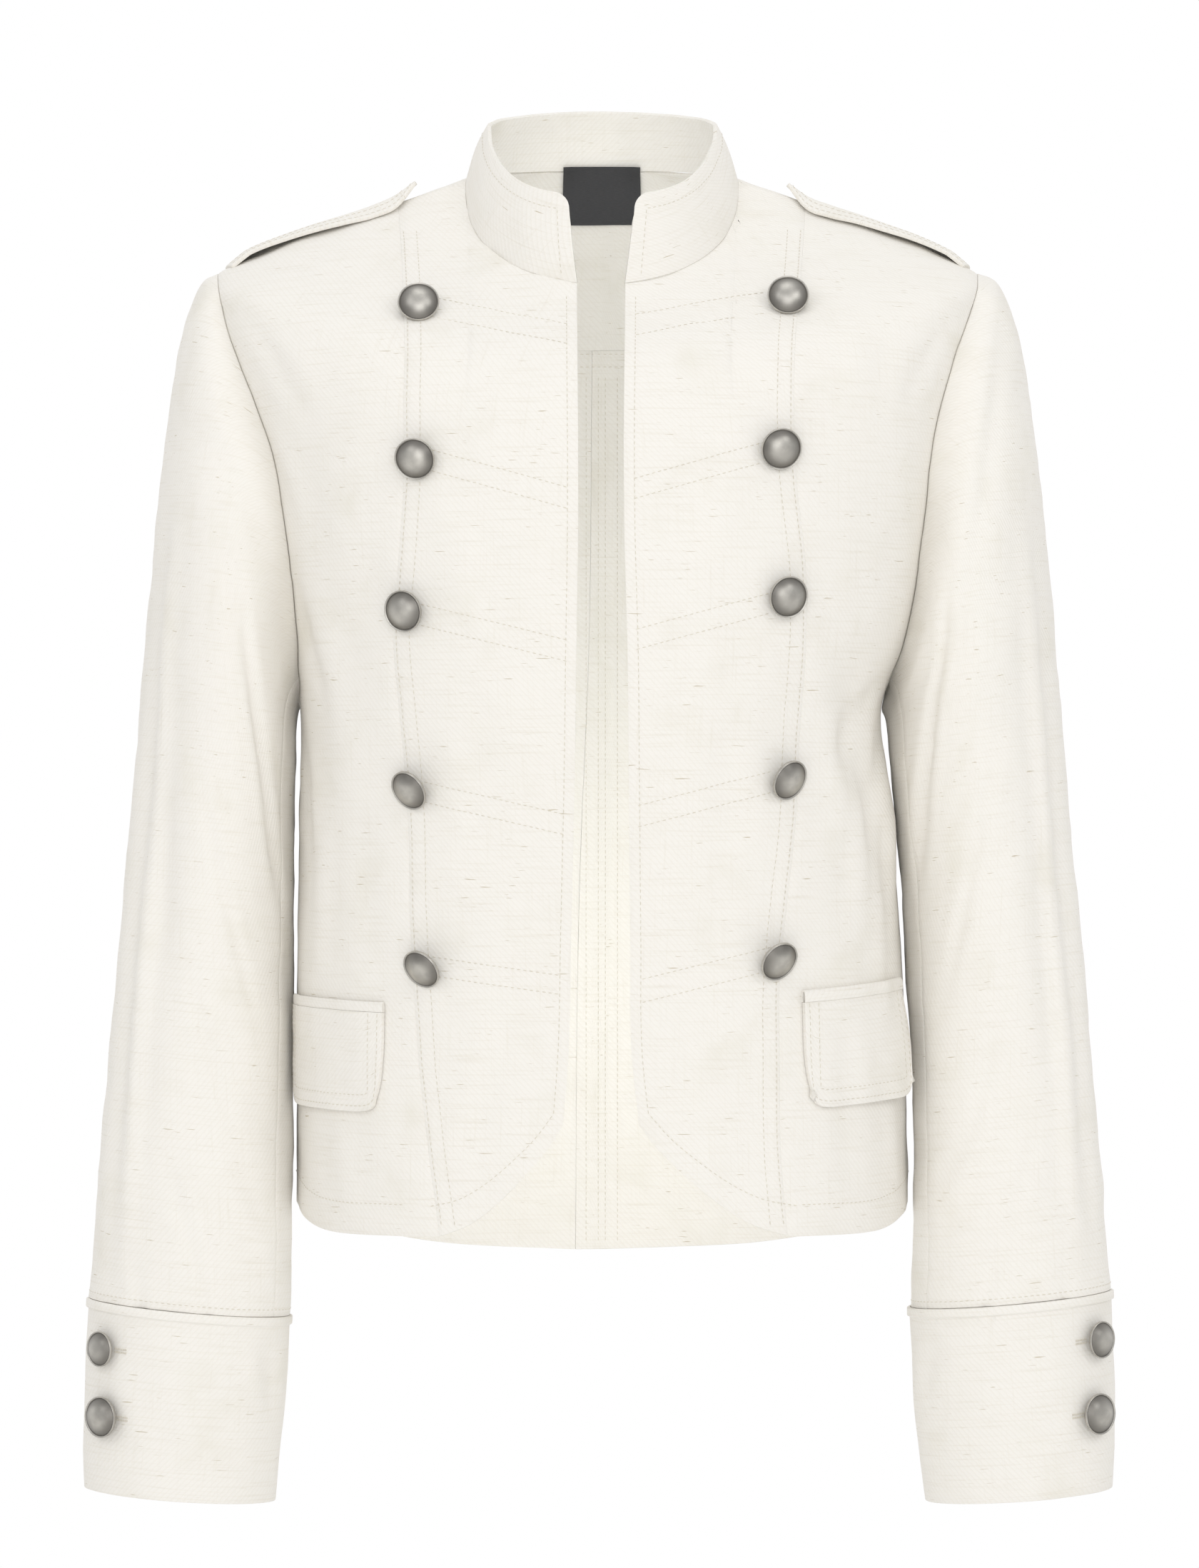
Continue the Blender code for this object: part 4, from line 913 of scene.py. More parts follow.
def collar_places():
    """Angles and sides along the neck seam, from the right front round the back to the left front."""
    sides = []
    bottom = []
    top = []
    for side in (-1, 1):
        share = np.linspace(0.0, 1.0, FRONT_NECK_STEPS * 2) ** COLLAR_CROWDING
        start = front_neck_angle(side)
        front = start + (90.0 - start) * share
        rim_start = math.degrees(math.asin(COLLAR_FRONT_END / COLLAR_WIDE))
        front_top = rim_start + (90.0 - rim_start) * share
        back = np.linspace(90.0, 180.0, BACK_STEPS + 1)[1:]
        low = np.concatenate((front, back))
        high = np.concatenate((front_top, back))
        if side > 0:
            low = low[::-1][1:]
            high = high[::-1][1:]
        sides.append(np.full(len(low), float(side)))
        bottom.append(low)
        top.append(high)
    return np.concatenate(sides), np.concatenate(bottom), np.concatenate(top)


def shoulder_top(side, out, depth):
    """Angles and levels of the shoulder's surface at these distances out and depths."""
    ahead = depth < 0

    def angle_at(level):
        reach = np.where(ahead, torso_column("front", level), torso_column("back", level))
        cosine = np.minimum((np.abs(depth) / reach) ** (torso_column("square", level) / 2.0), 1.0)
        turn = np.degrees(np.arccos(cosine))
        return np.where(ahead, turn, 180.0 - turn)

    def is_low(level):
        return np.abs(bare_torso(side, angle_at(level), level)[..., 0]) > out

    level = halve(np.full(out.shape, SHOULDER_LOWEST), np.zeros(out.shape), is_low)
    return angle_at(level), level


def to_linear(text):
    """Turns an sRGB hex value into linear colour."""
    values = [int(text[place : place + 2], 16) / 255.0 for place in (1, 3, 5)]
    return tuple(v / 12.92 if v <= 0.04045 else ((v + 0.055) / 1.055) ** 2.4 for v in values)


def add_node(tree, kind, settings=None, links=None):
    """Adds a node, sets its sockets and properties, and links its inputs."""
    node = tree.nodes.new(kind)
    for key, value in (settings or {}).items():
        if isinstance(key, str) and hasattr(node, key):
            setattr(node, key, value)
        else:
            node.inputs[key].default_value = value
    for key, source in (links or {}).items():
        tree.links.new(source, node.inputs[key])
    return node


def cloth_map(tree):
    """Places on the cloth in metres, across and down its threads."""
    return add_node(tree, "ShaderNodeUVMap", {"uv_map": "cloth"}).outputs["UV"]


def stretched(tree, place, scale, turn=0.0):
    settings = {"Scale": scale, "Rotation": (0.0, 0.0, turn)}
    return add_node(tree, "ShaderNodeMapping", settings, {"Vector": place}).outputs["Vector"]


def noise(tree, place, scale=1.0, detail=2.0):
    settings = {"Scale": scale, "Detail": detail}
    return add_node(tree, "ShaderNodeTexNoise", settings, {"Vector": place}).outputs["Fac"]


def blend(tree, share, first, second):
    """Blends two colours by a share. Each is a socket or an sRGB hex value."""
    node = add_node(tree, "ShaderNodeMix", {"data_type": "RGBA"}, {0: share})
    for socket, colour in ((6, first), (7, second)):
        if isinstance(colour, str):
            node.inputs[socket].default_value = (*to_linear(colour), 1.0)
        else:
            tree.links.new(colour, node.inputs[socket])
    return node.outputs[2]


def sums(tree, operation, *values, **settings):
    """One step of arithmetic on sockets and numbers."""
    node = add_node(tree, "ShaderNodeMath", {"operation": operation, **settings})
    for socket, value in enumerate(values):
        if isinstance(value, float):
            node.inputs[socket].default_value = value
        else:
            tree.links.new(value, node.inputs[socket])
    return node.outputs[0]


def grain(tree, height, strength, distance=0.0002):
    settings = {"Strength": strength, "Distance": distance}
    return add_node(tree, "ShaderNodeBump", settings, {"Height": height}).outputs["Normal"]


def start_material(name):
    material = bpy.data.materials.new(name)
    material.use_nodes = True
    material.node_tree.nodes.clear()
    return material, material.node_tree


def finish_material(material, settings, links):
    """Ends a material with its surface."""
    tree = material.node_tree
    shader = add_node(tree, "ShaderNodeBsdfPrincipled", settings, links)
    output = add_node(tree, "ShaderNodeOutputMaterial")
    tree.links.new(shader.outputs["BSDF"], output.inputs["Surface"])
    return material


def ramp(tree, source, low, high, bottom=0.0):
    """A smooth rise from the bottom to 1, between two values of the source."""
    settings = {"interpolation_type": "SMOOTHSTEP", "From Min": low, "From Max": high, "To Min": bottom}
    return add_node(tree, "ShaderNodeMapRange", settings, {"Value": source}).outputs["Result"]


def linen_twill(name, slant, colour):
    """Natural linen twill, bleached and pressed: matt yarn, a fine slant rib and scattered beige slubs."""
    material, tree = start_material(name)
    place = cloth_map(tree)
    # The ribs are 2.2 mm from one to the next, coarser than real ones, which wouldn't show at all.
    settings = {"Scale": 145.0, "Distortion": 1.6, "Detail": 2.0, "Detail Scale": 3.0}
    turned = stretched(tree, place, (1.0, 1.0, 1.0), math.radians(slant))
    rib = add_node(tree, "ShaderNodeTexWave", settings, {"Vector": turned}).outputs["Fac"]
    # Slubs are thick places in the weft, about 7 mm long and under 0.7 mm high, and they come in patches.
    slub = noise(tree, stretched(tree, place, (95.0, 1150.0, 1.0), 0.05), detail=1.5)
    patch = noise(tree, place, 60.0)
    mark = sums(tree, "MULTIPLY", ramp(tree, slub, 0.665, 0.76), ramp(tree, patch, 0.42, 0.62))
    # Crosswise and lengthwise yarns differ a little in tone, and so do wide places in the bleached cloth.
    shade = "#DCD6C8"
    weft = noise(tree, stretched(tree, place, (30.0, 900.0, 1.0)))
    warp = noise(tree, stretched(tree, place, (900.0, 30.0, 1.0)))
    cloud = noise(tree, place, 26.0, 3.0)
    tone = blend(tree, ramp(tree, weft, 0.45, 1.15), colour, shade)
    tone = blend(tree, ramp(tree, warp, 0.5, 1.3), tone, shade)
    tone = blend(tree, ramp(tree, cloud, 0.5, 1.0), tone, "#E0DCD0")
    tone = blend(tree, ramp(tree, rib, 0.5, 2.4), tone, shade)
    tone = blend(tree, mark, tone, "#C6BCA8")
    normal = grain(tree, sums(tree, "MULTIPLY_ADD", mark, 0.6, rib), 0.2, 0.0003)
    settings = {"Roughness": 0.88, "Specular IOR Level": 0.25, "Sheen Weight": 0.12, "Sheen Roughness": 0.5}
    return finish_material(material, settings, {"Base Color": tone, "Normal": normal})


def sewing_thread(name):
    """Spun polyester thread dyed to the cloth, a little darker than it: partly the thread's own beige and
    partly painted shade of its stitches.
    """
    material, tree = start_material(name)
    place = add_node(tree, "ShaderNodeTexCoord").outputs["Object"]
    # Both tones sit below the cloth's: part beige dye, part painted shade along the stitches.
    tone = blend(tree, noise(tree, place, 900.0, 1.0), "#E2DDD0", "#D0C8B8")
    return finish_material(material, {"Roughness": 0.7, "Sheen Weight": 0.1}, {"Base Color": tone})


def antique_silver(name):
    """Die-cast zinc plated in antique silver, with a painted reflection: the dome is painted dark grey, and
    its crown and rim keep the lighter plate.
    """
    material, tree = start_material(name)
    place = add_node(tree, "ShaderNodeTexCoord").outputs["Object"]
    fine = noise(tree, place, 1800.0)
    plate = blend(tree, ramp(tree, noise(tree, place, 150.0, 3.0), 0.35, 0.7), "#B3B0AA", "#C6C3BC")
    # The map's height is the share of the button's radius: the painted reflection, a dim room mirrored in the
    # dome, stays in the ring inside the rim.
    share = add_node(tree, "ShaderNodeSeparateXYZ", {}, {0: cloth_map(tree)}).outputs["Y"]
    inner = ramp(tree, share, 0.3, 0.88)
    rim = ramp(tree, share, 0.905, 0.935)
    # Painted reflection: the ring inside the rim is blended to dark grey, standing in for the dim room that
    # the dome mirrors.
    tone = blend(tree, sums(tree, "SUBTRACT", inner, rim, use_clamp=True), plate, "#7D7A75")
    settings = {"To Min": 0.36, "To Max": 0.46}
    rough = add_node(tree, "ShaderNodeMapRange", settings, {"Value": fine}).outputs["Result"]
    links = {"Base Color": tone, "Roughness": rough, "Normal": grain(tree, fine, 0.06)}
    return finish_material(material, {"Metallic": 1.0}, links)


def label_satin(name):
    """Woven polyester satin label in black, with a soft crosswise gleam and no marking."""
    material, tree = start_material(name)
    thread = noise(tree, stretched(tree, cloth_map(tree), (500.0, 3000.0, 1.0)), detail=1.0)
    links = {"Base Color": blend(tree, thread, "#17171A", "#2B2B2F"), "Normal": grain(tree, thread, 0.2)}
    return finish_material(material, {"Roughness": 0.42}, links)


def studio_floor(name):
    """Matt white paper sweep."""
    material, tree = start_material(name)
    place = add_node(tree, "ShaderNodeTexCoord").outputs["Object"]
    settings = {"Base Color": (*to_linear("#F6F5F3"), 1.0), "Roughness": 0.9}
    return finish_material(material, settings, {"Normal": grain(tree, noise(tree, place, 300.0), 0.05)})


MATERIALS = {}


def material_for(kind):
    """Makes each finish once and hands it out by name."""
    if kind not in MATERIALS:
        colour = bpy.context.scene.jacket_colours.linen_hex()
        makers = {
            "linen_front": lambda: linen_twill("linen_twill_front", -45, colour),
            "linen_sleeve": lambda: linen_twill("linen_twill_sleeve", -40, colour),
            "linen_trim": lambda: linen_twill("linen_twill_trim", 45, colour),
            "thread": lambda: sewing_thread("spun_thread"),
            "silver": lambda: antique_silver("silver_plate_painted_reflection"),
            "label": lambda: label_satin("woven_satin_label"),
            "floor": lambda: studio_floor("white_paper"),
        }
        MATERIALS[kind] = makers[kind]()
    return MATERIALS[kind]


def deselect():
    if bpy.context.object and bpy.context.object.mode != "OBJECT":
        bpy.ops.object.mode_set(mode="OBJECT")
    bpy.ops.object.select_all(action="DESELECT")


def arc_lengths(grid):
    """Distances across and down a grid of points, in metres."""
    across = np.linalg.norm(np.diff(grid, axis=1), axis=-1).cumsum(axis=1)
    down = np.linalg.norm(np.diff(grid, axis=0), axis=-1).cumsum(axis=0)
    u = np.concatenate((np.zeros((grid.shape[0], 1)), across), axis=1)
    v = np.concatenate((np.zeros((1, grid.shape[1])), down), axis=0)
    u = u - u[:, -1:] / 2.0
    v = v - v[-1:] * (grid[-1, :, 2].mean() < grid[0, :, 2].mean())
    return u * MM, v * MM


def shaped_grid(name, grid, toward, closed=False, shift=(0.0, 0.0), spread=None):
    """Adds a grid, shapes it to the points given and faces it the way that the pointer says."""
    rows, columns = grid.shape[:2]
    deselect()
    bpy.ops.mesh.primitive_grid_add(x_subdivisions=columns - 1, y_subdivisions=rows - 1, size=2.0)
    piece = bpy.context.active_object
    piece.name = name
    mesh = piece.data
    mesh.name = name
    count = len(mesh.vertices)
    if count != rows * columns:
        raise RuntimeError(name + ": the grid has an unexpected number of points")
    flat = np.empty(count * 3)
    mesh.vertices.foreach_get("co", flat)
    flat = flat.reshape(-1, 3)
    column = np.rint((flat[:, 0] + 1.0) / 2.0 * (columns - 1)).astype(int)
    row = np.rint((flat[:, 1] + 1.0) / 2.0 * (rows - 1)).astype(int)
    placed = grid[row, column] * MM
    mesh.vertices.foreach_set("co", placed.ravel())
    u, v = arc_lengths(grid) if spread is None else spread
    loops = np.empty(len(mesh.loops), dtype=int)
    mesh.loops.foreach_get("vertex_index", loops)
    layer = mesh.uv_layers[0]
    layer.name = "cloth"
    places = np.stack((u[row, column] + shift[0], v[row, column] + shift[1]), axis=-1)[loops]
    layer.data.foreach_set("uv", places.ravel())
    mesh.update()
    total = 0.0
    for number in range(0, len(mesh.polygons), max(1, len(mesh.polygons) // 400)):
        face = mesh.polygons[number]
        total += face.normal.dot(Vector(toward(np.array(face.center) / MM)))
    bpy.ops.object.mode_set(mode="EDIT")
    bpy.ops.mesh.select_all(action="SELECT")
    if total < 0.0:
        bpy.ops.mesh.flip_normals()
    if closed:
        bpy.ops.mesh.remove_doubles(threshold=0.00001)
    bpy.ops.object.mode_set(mode="OBJECT")
    return piece


def body_outward(point):
    return (float(point[0]), float(point[1]) * 1.3, 0.0)


def body_inward(point):
    return (-float(point[0]), -float(point[1]), 0.0)


def upward(point):
    return (0.0, 0.0, 1.0)


def give_wall(piece, thickness):
    """Gives a sheet its thickness, inward from its face."""
    solidify = piece.modifiers.new("wall", "SOLIDIFY")
    solidify.thickness = thickness * MM
    solidify.offset = -1.0
    solidify.use_rim = True
    bpy.ops.object.modifier_apply(modifier=solidify.name)
    bevel = piece.modifiers.new("soft_edge", "BEVEL")
    bevel.width = thickness * EDGE_ROUND * MM
    bevel.segments = 2
    bevel.limit_method = "ANGLE"
    bevel.angle_limit = math.radians(ROUNDED_ANGLE)
    bpy.ops.object.modifier_apply(modifier=bevel.name)


def dress(piece, material, nodes=()):
    """Finishes a piece: its material, its smooth shading, its body and the solids that it stands for."""
    piece.data.materials.clear()
    piece.data.materials.append(material)
    deselect()
    piece.select_set(True)
    bpy.context.view_layer.objects.active = piece
    bpy.ops.object.shade_smooth_by_angle(angle=math.radians(SMOOTH_ANGLE))
    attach(piece, BODY)
    if nodes:
        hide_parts(*nodes)


def state_cut(grid):
    """Works out a sheet's lengths across and down its threads; nothing uses them."""
    u, v = arc_lengths(grid)


def narrow(grid, distance):
    """Moves the rim of a grid inward to leave half a seam gap."""
    moved = grid.copy()
    for edge, inner in ((0, 1), (-1, -2)):
        moved[edge] += unit(grid[inner] - grid[edge]) * distance
    for edge, inner in ((0, 1), (-1, -2)):
        moved[:, edge] += unit(grid[:, inner] - grid[:, edge]) * distance
    return moved


def rolled_rim(shape):
    """How far a sheet dips along its four edges, where it rolls into its seams."""
    dip = np.zeros(shape)
    dip[(0, -1), :] = -RIM_DIP
    dip[:, (0, -1)] = -RIM_DIP
    return dip


def body_spread(grid):
    """Where the cloth's threads run on the body: level all round, and over the shoulders by their slope."""
    x, y, z = np.moveaxis(grid, -1, 0)
    inward = DEEPEST - np.abs(y)
    over = np.clip((z - SHOULDER_CURVE) / -SHOULDER_CURVE, 0.0, 1.0)
    return np.sign(x) * (np.abs(x) + LEAN_ACROSS * inward) * MM, (z + LEAN_DOWN * inward * over) * MM


def sheet_piece(node, grid, toward, wall, finish, hung_from, kind="cloth_", **options):
    """Adds the sheet that stands for a solid, with its wall and finish."""
    piece = shaped_grid(kind + node, grid, toward, **options)
    give_wall(piece, wall)
    dress(piece, material_for(finish), [node])
    state_cut(grid)


def body_panel(node, side, places, hung_from):
    sides = np.full(places.shape[:2], float(side)) if np.isscalar(side) else side
    dip = rolled_rim(places.shape[:2])
    grid = narrow(torso(sides, places[..., 0], places[..., 1], dip), SEAM_GAP / 2)
    # Each panel's threads start at a place of their own, so that no slub runs on over a seam.
    letters = len("cloth_" + node)
    shift = (letters * 0.037, letters * 0.021)
    spread = body_spread(grid)
    sheet_piece(node, grid, body_outward, CLOTH, "linen_front", hung_from, shift=shift, spread=spread)


def tube_outward(grid):
    middles = grid.mean(axis=1)

    def toward(point):
        near = middles[np.argmin(np.abs(middles[:, 2] - point[2]))]
        return tuple(float(value) for value in point - near)

    return toward


def stitch_template():
    """One stitch: a short thread dipping into the cloth at both ends."""
    deselect()
    bpy.ops.mesh.primitive_ico_sphere_add(subdivisions=1, radius=1.0)
    template = bpy.context.active_object
    points = np.array([vertex.co[:] for vertex in template.data.vertices])
    faces = [tuple(face.vertices) for face in template.data.polygons]
    bpy.data.objects.remove(template, do_unlink=True)
    return points, faces


def point_at(reach, line, at):
    return np.array([np.interp(at, reach, line[:, axis]) for axis in range(3)])


def lay_stitches(name, lines):
    """Sews rows of stitches: each line is its points and its outward directions."""
    sizes = bpy.context.scene.jacket_sizes
    half_thick = sizes.stitch_thickness / 2.0
    shape, shape_faces = stitch_template()
    points = []
    faces = []
    for line, outward in lines:
        reach = distance_along(line)
        count = max(1, int(reach[-1] / sizes.stitch_pitch))
        half = min(sizes.stitch_length, reach[-1]) / 2.0
        for index in range(count):
            at = (index + 0.5) * reach[-1] / count
            start = point_at(reach, line, at - half)
            end = point_at(reach, line, at + half)
            if np.linalg.norm(end - start) < SHORTEST_STITCH:
                continue
            way = unit(end - start)
            up = point_at(reach, outward, at)
            up = unit(up - way * up.dot(way))
            beside = np.cross(up, way)
            placed = (start + end) / 2.0 + shape[:, :1] * half * way
            placed = placed + shape[:, 1:2] * half_thick * beside
            placed = placed + shape[:, 2:] * half_thick * STITCH_FLATNESS * up
            first = len(points) * len(shape)
            points.append(placed)
            faces.extend(tuple(number + first for number in face) for face in shape_faces)
    deselect()
    mesh = bpy.data.meshes.new(name)
    mesh.from_pydata((np.concatenate(points) * MM).tolist(), [], faces)
    mesh.update()
    piece = bpy.data.objects.new(name, mesh)
    bpy.context.scene.collection.objects.link(piece)
    dress(piece, material_for("thread"))


def body_line(side, angle, level, out=STITCH_OUT):
    """A line on the body's cloth with its outward directions, which turn inward on the cloth's inner face."""
    sides = np.full(np.shape(angle), float(side))
    normal = torso_normal(sides, np.asarray(angle, dtype=float), np.asarray(level, dtype=float))
    return torso(sides, angle, level, out), normal if out > 0.0 else -normal


def front_line(side, outs, heights):
    """A line on the front's cloth, as seen from the front."""
    places = place_on_body(side, outs, heights)
    return body_line(side, places[..., 0], places[..., 1])


def hem_line(side, start, end, steps):
    angles = np.linspace(start, end, steps)
    return body_line(side, angles, smooth_between(HEM["angle"], HEM["height"], angles) + HEM_STITCH)


class JacketSizes(bpy.types.PropertyGroup):
    crease: FloatProperty(
        name="Crease strength", description="How deep the fine creases are", default=1.0, min=0.0, max=2.0
    )
    rumple: FloatProperty(
        name="Rumple",
        description="Uneven surface of worn linen, in millimetres",
        default=0.32,
        min=0.0,
        max=1.5,
    )
    stitch_pitch: FloatProperty(
        name="Stitch pitch", description="Distance between stitches, in millimetres", default=2.9, min=1.0
    )
    stitch_length: FloatProperty(
        name="Stitch length",
        description="Thread that shows in a stitch, in millimetres",
        default=2.1,
        min=0.5,
    )
    stitch_thickness: FloatProperty(
        name="Thread thickness", description="In millimetres", default=0.42, min=0.1
    )
    button_sides: IntProperty(name="Button sides", description="Faces round a button", default=40, min=12)


class JacketColours(bpy.types.PropertyGroup):
    linen: FloatVectorProperty(
        name="Linen",
        description="sRGB colour of the cloth",
        subtype="COLOR_GAMMA",
        size=3,
        default=(0.93, 0.919, 0.894),
        min=0.0,
        max=1.0,
    )

    def linen_hex(self):
        return "#" + "".join(format(round(value * 255), "02X") for value in self.linen)


class JACKET_OT_fronts(bpy.types.Operator):
    """Builds the centre and side panels of both fronts"""

    bl_idname = "jacket.fronts"
    bl_label = "Fronts"

    def execute(self, context):
        for side, name in ((-1, "right"), (1, "left")):
            body_panel("front_centre_" + name, side, front_centre_places(side), ["collar", "back_yoke"])
            body_panel("front_side_" + name, side, front_side_places(side), ["back_yoke"])
        return {"FINISHED"}


class JACKET_OT_back(bpy.types.Operator):
    """Builds the back panels and the yoke"""

    bl_idname = "jacket.back"
    bl_label = "Back"

    def execute(self, context):
        for side, name in ((-1, "right"), (1, "left")):
            body_panel("back_" + name, side, back_places(side), ["back_yoke"])
        sides, places = yoke_places()
        body_panel("back_yoke", sides, places, ["collar"])
        return {"FINISHED"}


class JACKET_OT_sleeves(bpy.types.Operator):
    """Builds the upper and under sleeves and the cuffs"""

    bl_idname = "jacket.sleeves"
    bl_label = "Sleeves and cuffs"

    def execute(self, context):
        for side, name in ((-1, "right"), (1, "left")):
            cloth = sleeve_cloth(side)
            whole_turn = cloth.shape[1]
            self.sleeve("upper_", side, name, cloth, UPPER_SEAM_BACK - whole_turn, UPPER_SEAM_FRONT)
            self.sleeve("under_", side, name, cloth, UPPER_SEAM_FRONT, UPPER_SEAM_BACK)
            self.cuff(side, name)
        return {"FINISHED"}

    def sleeve(self, part, side, name, cloth, start, end):
        grid = narrow(take_columns(cloth, start, end), SEAM_GAP / 2)
        grid[:1] -= unit(grid[:1] - grid[:1].mean(axis=1, keepdims=True)) * RIM_DIP
        grid[-1] += unit(grid[-1] - grid[-2]) * CUFF_TUCK
        sheet_piece("sleeve_" + part + name, grid, tube_outward(cloth), CLOTH, "linen_sleeve",
                    ["front_side_" + name, "back_" + name], shift=(0.11 * side, 0.07 * side))

    def cuff(self, side, name):
        turn = np.linspace(0.0, 2 * math.pi, ARM_STEPS * 2 + 1)
        plain = np.linspace(CUFF_BELOW_BAND, CUFF["height"][-1], CUFF_RINGS)
        heights = np.concatenate((CUFF["height"][:4], plain))
        grid = np.stack([fine_cuff_ring(side, height, turn) for height in heights])
        grid[:, -1] = grid[:, 0]
        sheet_piece("cuff_" + name, grid, tube_outward(grid), CUFF_WALL, "linen_sleeve",
                    ["sleeve_upper_" + name, "sleeve_under_" + name], closed=True, shift=(0.3, 0.2 * side))


def fine_cuff_ring(side, height, turn):
    """A ring of the finished cuff, a little uneven below its band."""
    proud = cuff_column("proud", height)
    flat = cuff_ring(side, height, turn, proud)
    beyond = cuff_ring(side, height, turn, proud + 1.0)
    down = np.full(turn.shape, CUFF["height"][3] - height)
    fade = np.clip(down / CUFF_SETTLE, 0.0, 1.0)
    creases = soft_line((np.degrees(turn), down), MM_PER_DEGREE_SLEEVE, CUFF_CREASES, side)
    return flat + (beyond - flat) * ((rumple(flat, "cuff") + creases) * fade)[:, None]


class JACKET_OT_collar(bpy.types.Operator):
    """Builds the stand collar and the bare neck label"""

    bl_idname = "jacket.collar"
    bl_label = "Collar and label"

    def execute(self, context):
        hung_from = ["back_yoke"]
        grid = collar_grid()
        sheet_piece("collar", grid, body_outward, COLLAR_WALL, "linen_trim", hung_from, shift=(0.4, 0.1))
        sheet_piece("neck_label", label_grid(), body_inward, LABEL_WALL, "label", hung_from, kind="satin_")
        return {"FINISHED"}


def collar_grid():
    sides, low, high = collar_places()
    seam = bare_torso(sides, low, np.zeros_like(low))
    rim = collar_rim(sides, high)
    shares = np.linspace(0.0, 1.0, COLLAR_RINGS)
    grid = np.stack([seam * (1 - share) + rim * share for share in shares])
    bulge = COLLAR_BULGE * np.sin(math.pi * shares)[:, None]
    grid = grid + collar_normals(grid) * (bulge + rumple(grid, "collar"))[..., None]
    grid[0] += unit(grid[1] - grid[0]) * SEAM_GAP
    return round_corners(grid)


def label_grid():
    """The label hangs inside the back from a tab that runs up over the neck seam."""
    columns = np.linspace(-LABEL_WIDE / 2, LABEL_WIDE / 2, LABEL_GRID[1])
    drop = np.linspace(0.0, 1.0, LABEL_GRID[0])
    out, height = np.meshgrid(columns, TORSO["back_rise"][0] - LABEL_START - LABEL_HIGH * drop)
    sides = np.where(out >= 0, 1.0, -1.0)
    angle, level = np.moveaxis(place_on_body(sides, out, height, rear=True), -1, 0)
    inward = CLOTH + LABEL_STAND + LABEL_THICK - LABEL_WAVE * np.sin(out / LABEL_WAVE_LONG) * drop[:, None]
    label = bare_torso(sides, angle, level) - torso_normal(sides, angle, level) * inward[..., None]
    tab = np.array((0.0, -LABEL_LEAN * LABEL_TAB, LABEL_TAB))
    return np.concatenate((label[:1] + tab, label[:1] + tab / 2, label))


def collar_normals(grid):
    """Outward normals of the collar's open band."""
    normal = unit(np.cross(np.gradient(grid, axis=1), np.gradient(grid, axis=0)))
    outward = np.sum(normal * (grid - grid.mean(axis=(0, 1))))
    return -normal if outward < 0 else normal


def round_corners(grid):
    """Rounds the collar's two front corners."""
    height = np.linspace(0.0, 1.0, len(grid))[:, None]
    for columns in (slice(None), slice(None, None, -1)):
        turned = grid[:, columns]
        short = np.clip(COLLAR_CORNER - distance_along(turned[-1]), 0.0, COLLAR_CORNER)
        drop = COLLAR_CORNER - np.sqrt(COLLAR_CORNER**2 - short**2)
        turned += unit(turned[0] - turned[-1]) * drop[:, None] * (height**4)[..., None]
    return grid


class JACKET_OT_trims(bpy.types.Operator):
    """Builds the epaulettes, pocket welts and pocket flaps"""

    bl_idname = "jacket.trims"
    bl_label = "Epaulettes and pockets"

    def execute(self, context):
        for side, name in ((-1, "right"), (1, "left")):
            sheet_piece("epaulette_" + name, epaulette_grid(side), upward, EPAULETTE_WALL, "linen_trim",
                        ["sleeve_upper_" + name], shift=(0.6, 0.3 * side))
        for pocket in rows_of(POCKETS):
            self.trim("flap_", pocket, flap_grid(pocket), FLAP_THICK)
            self.trim("welt_", pocket, welt_grid(pocket), WELT_WALL)
        return {"FINISHED"}

    def trim(self, part, pocket, grid, wall):
        name = SIDE_NAMES[pocket["side"]]
        sheet_piece("pocket_" + part + name, grid, body_outward, wall, "linen_trim", ["front_side_" + name],
                    shift=(0.8, 0.3 * pocket["side"]))


def epaulette_points(side, along, across):
    """Points on the strap's top: along it from the armhole, and across it from edge to edge."""
    name = SIDE_NAMES[side]
    tip = TORSO[name + "_width"][4] - EPAULETTE_START
    lift = smooth_between(EPAULETTE["along"], EPAULETTE[name + "_lift"], along)
    half = smooth_between(EPAULETTE["along"], EPAULETTE["half_wide"], along)
    out = tip + (EPAULETTE_END - tip) * along - EPAULETTE_HOLLOW * across * across * (1 - along)
    sides = np.full(out.shape, float(side))
    angle, level = shoulder_top(sides, out, EPAULETTE_BACK + across * half)
    points = bare_torso(sides, angle, level) + torso_normal(sides, angle, level) * EPAULETTE_LIFT
    points[..., 2] += lift + EPAULETTE_THICK * np.clip(EPAULETTE_SEWN + along / EPAULETTE_RISE, 0.0, 1.0)
    return points


def epaulette_grid(side):
    long, wide = EPAULETTE_GRID
    along, across = np.meshgrid(np.linspace(0.0, 1.0, long), np.linspace(-1.0, 1.0, wide), indexing="ij")
    return epaulette_points(side, along, across)


def epaulette_line(side, inset):
    """A line of stitching on the strap that keeps its distance from three edges."""
    last = 1.0 - inset / EPAULETTE_LONG
    along = np.linspace(0.01, last, 60)
    across = 1.0 - inset / smooth_between(EPAULETTE["along"], EPAULETTE["half_wide"], along)
    turn = np.linspace(across[-1], -across[-1], 12)[1:-1]
    along = np.concatenate((along, np.full(len(turn), last), along[::-1]))
    across = np.concatenate((across, turn, -across[::-1]))
    points = epaulette_points(side, along, across)
    points[:, 2] += STITCH_OUT
    return points, np.tile((0.0, 0.0, 1.0), (len(points), 1))


def pocket_places(pocket):
    """Shares along a pocket's mouth, with their angles and levels."""
    across = np.linspace(0.0, 1.0, POCKET_COLUMNS)
    angles = pocket["front_angle"] + (pocket["rear_angle"] - pocket["front_angle"]) * across
    levels = pocket["front_height"] + (pocket["rear_height"] - pocket["front_height"]) * across
    return across, angles, levels


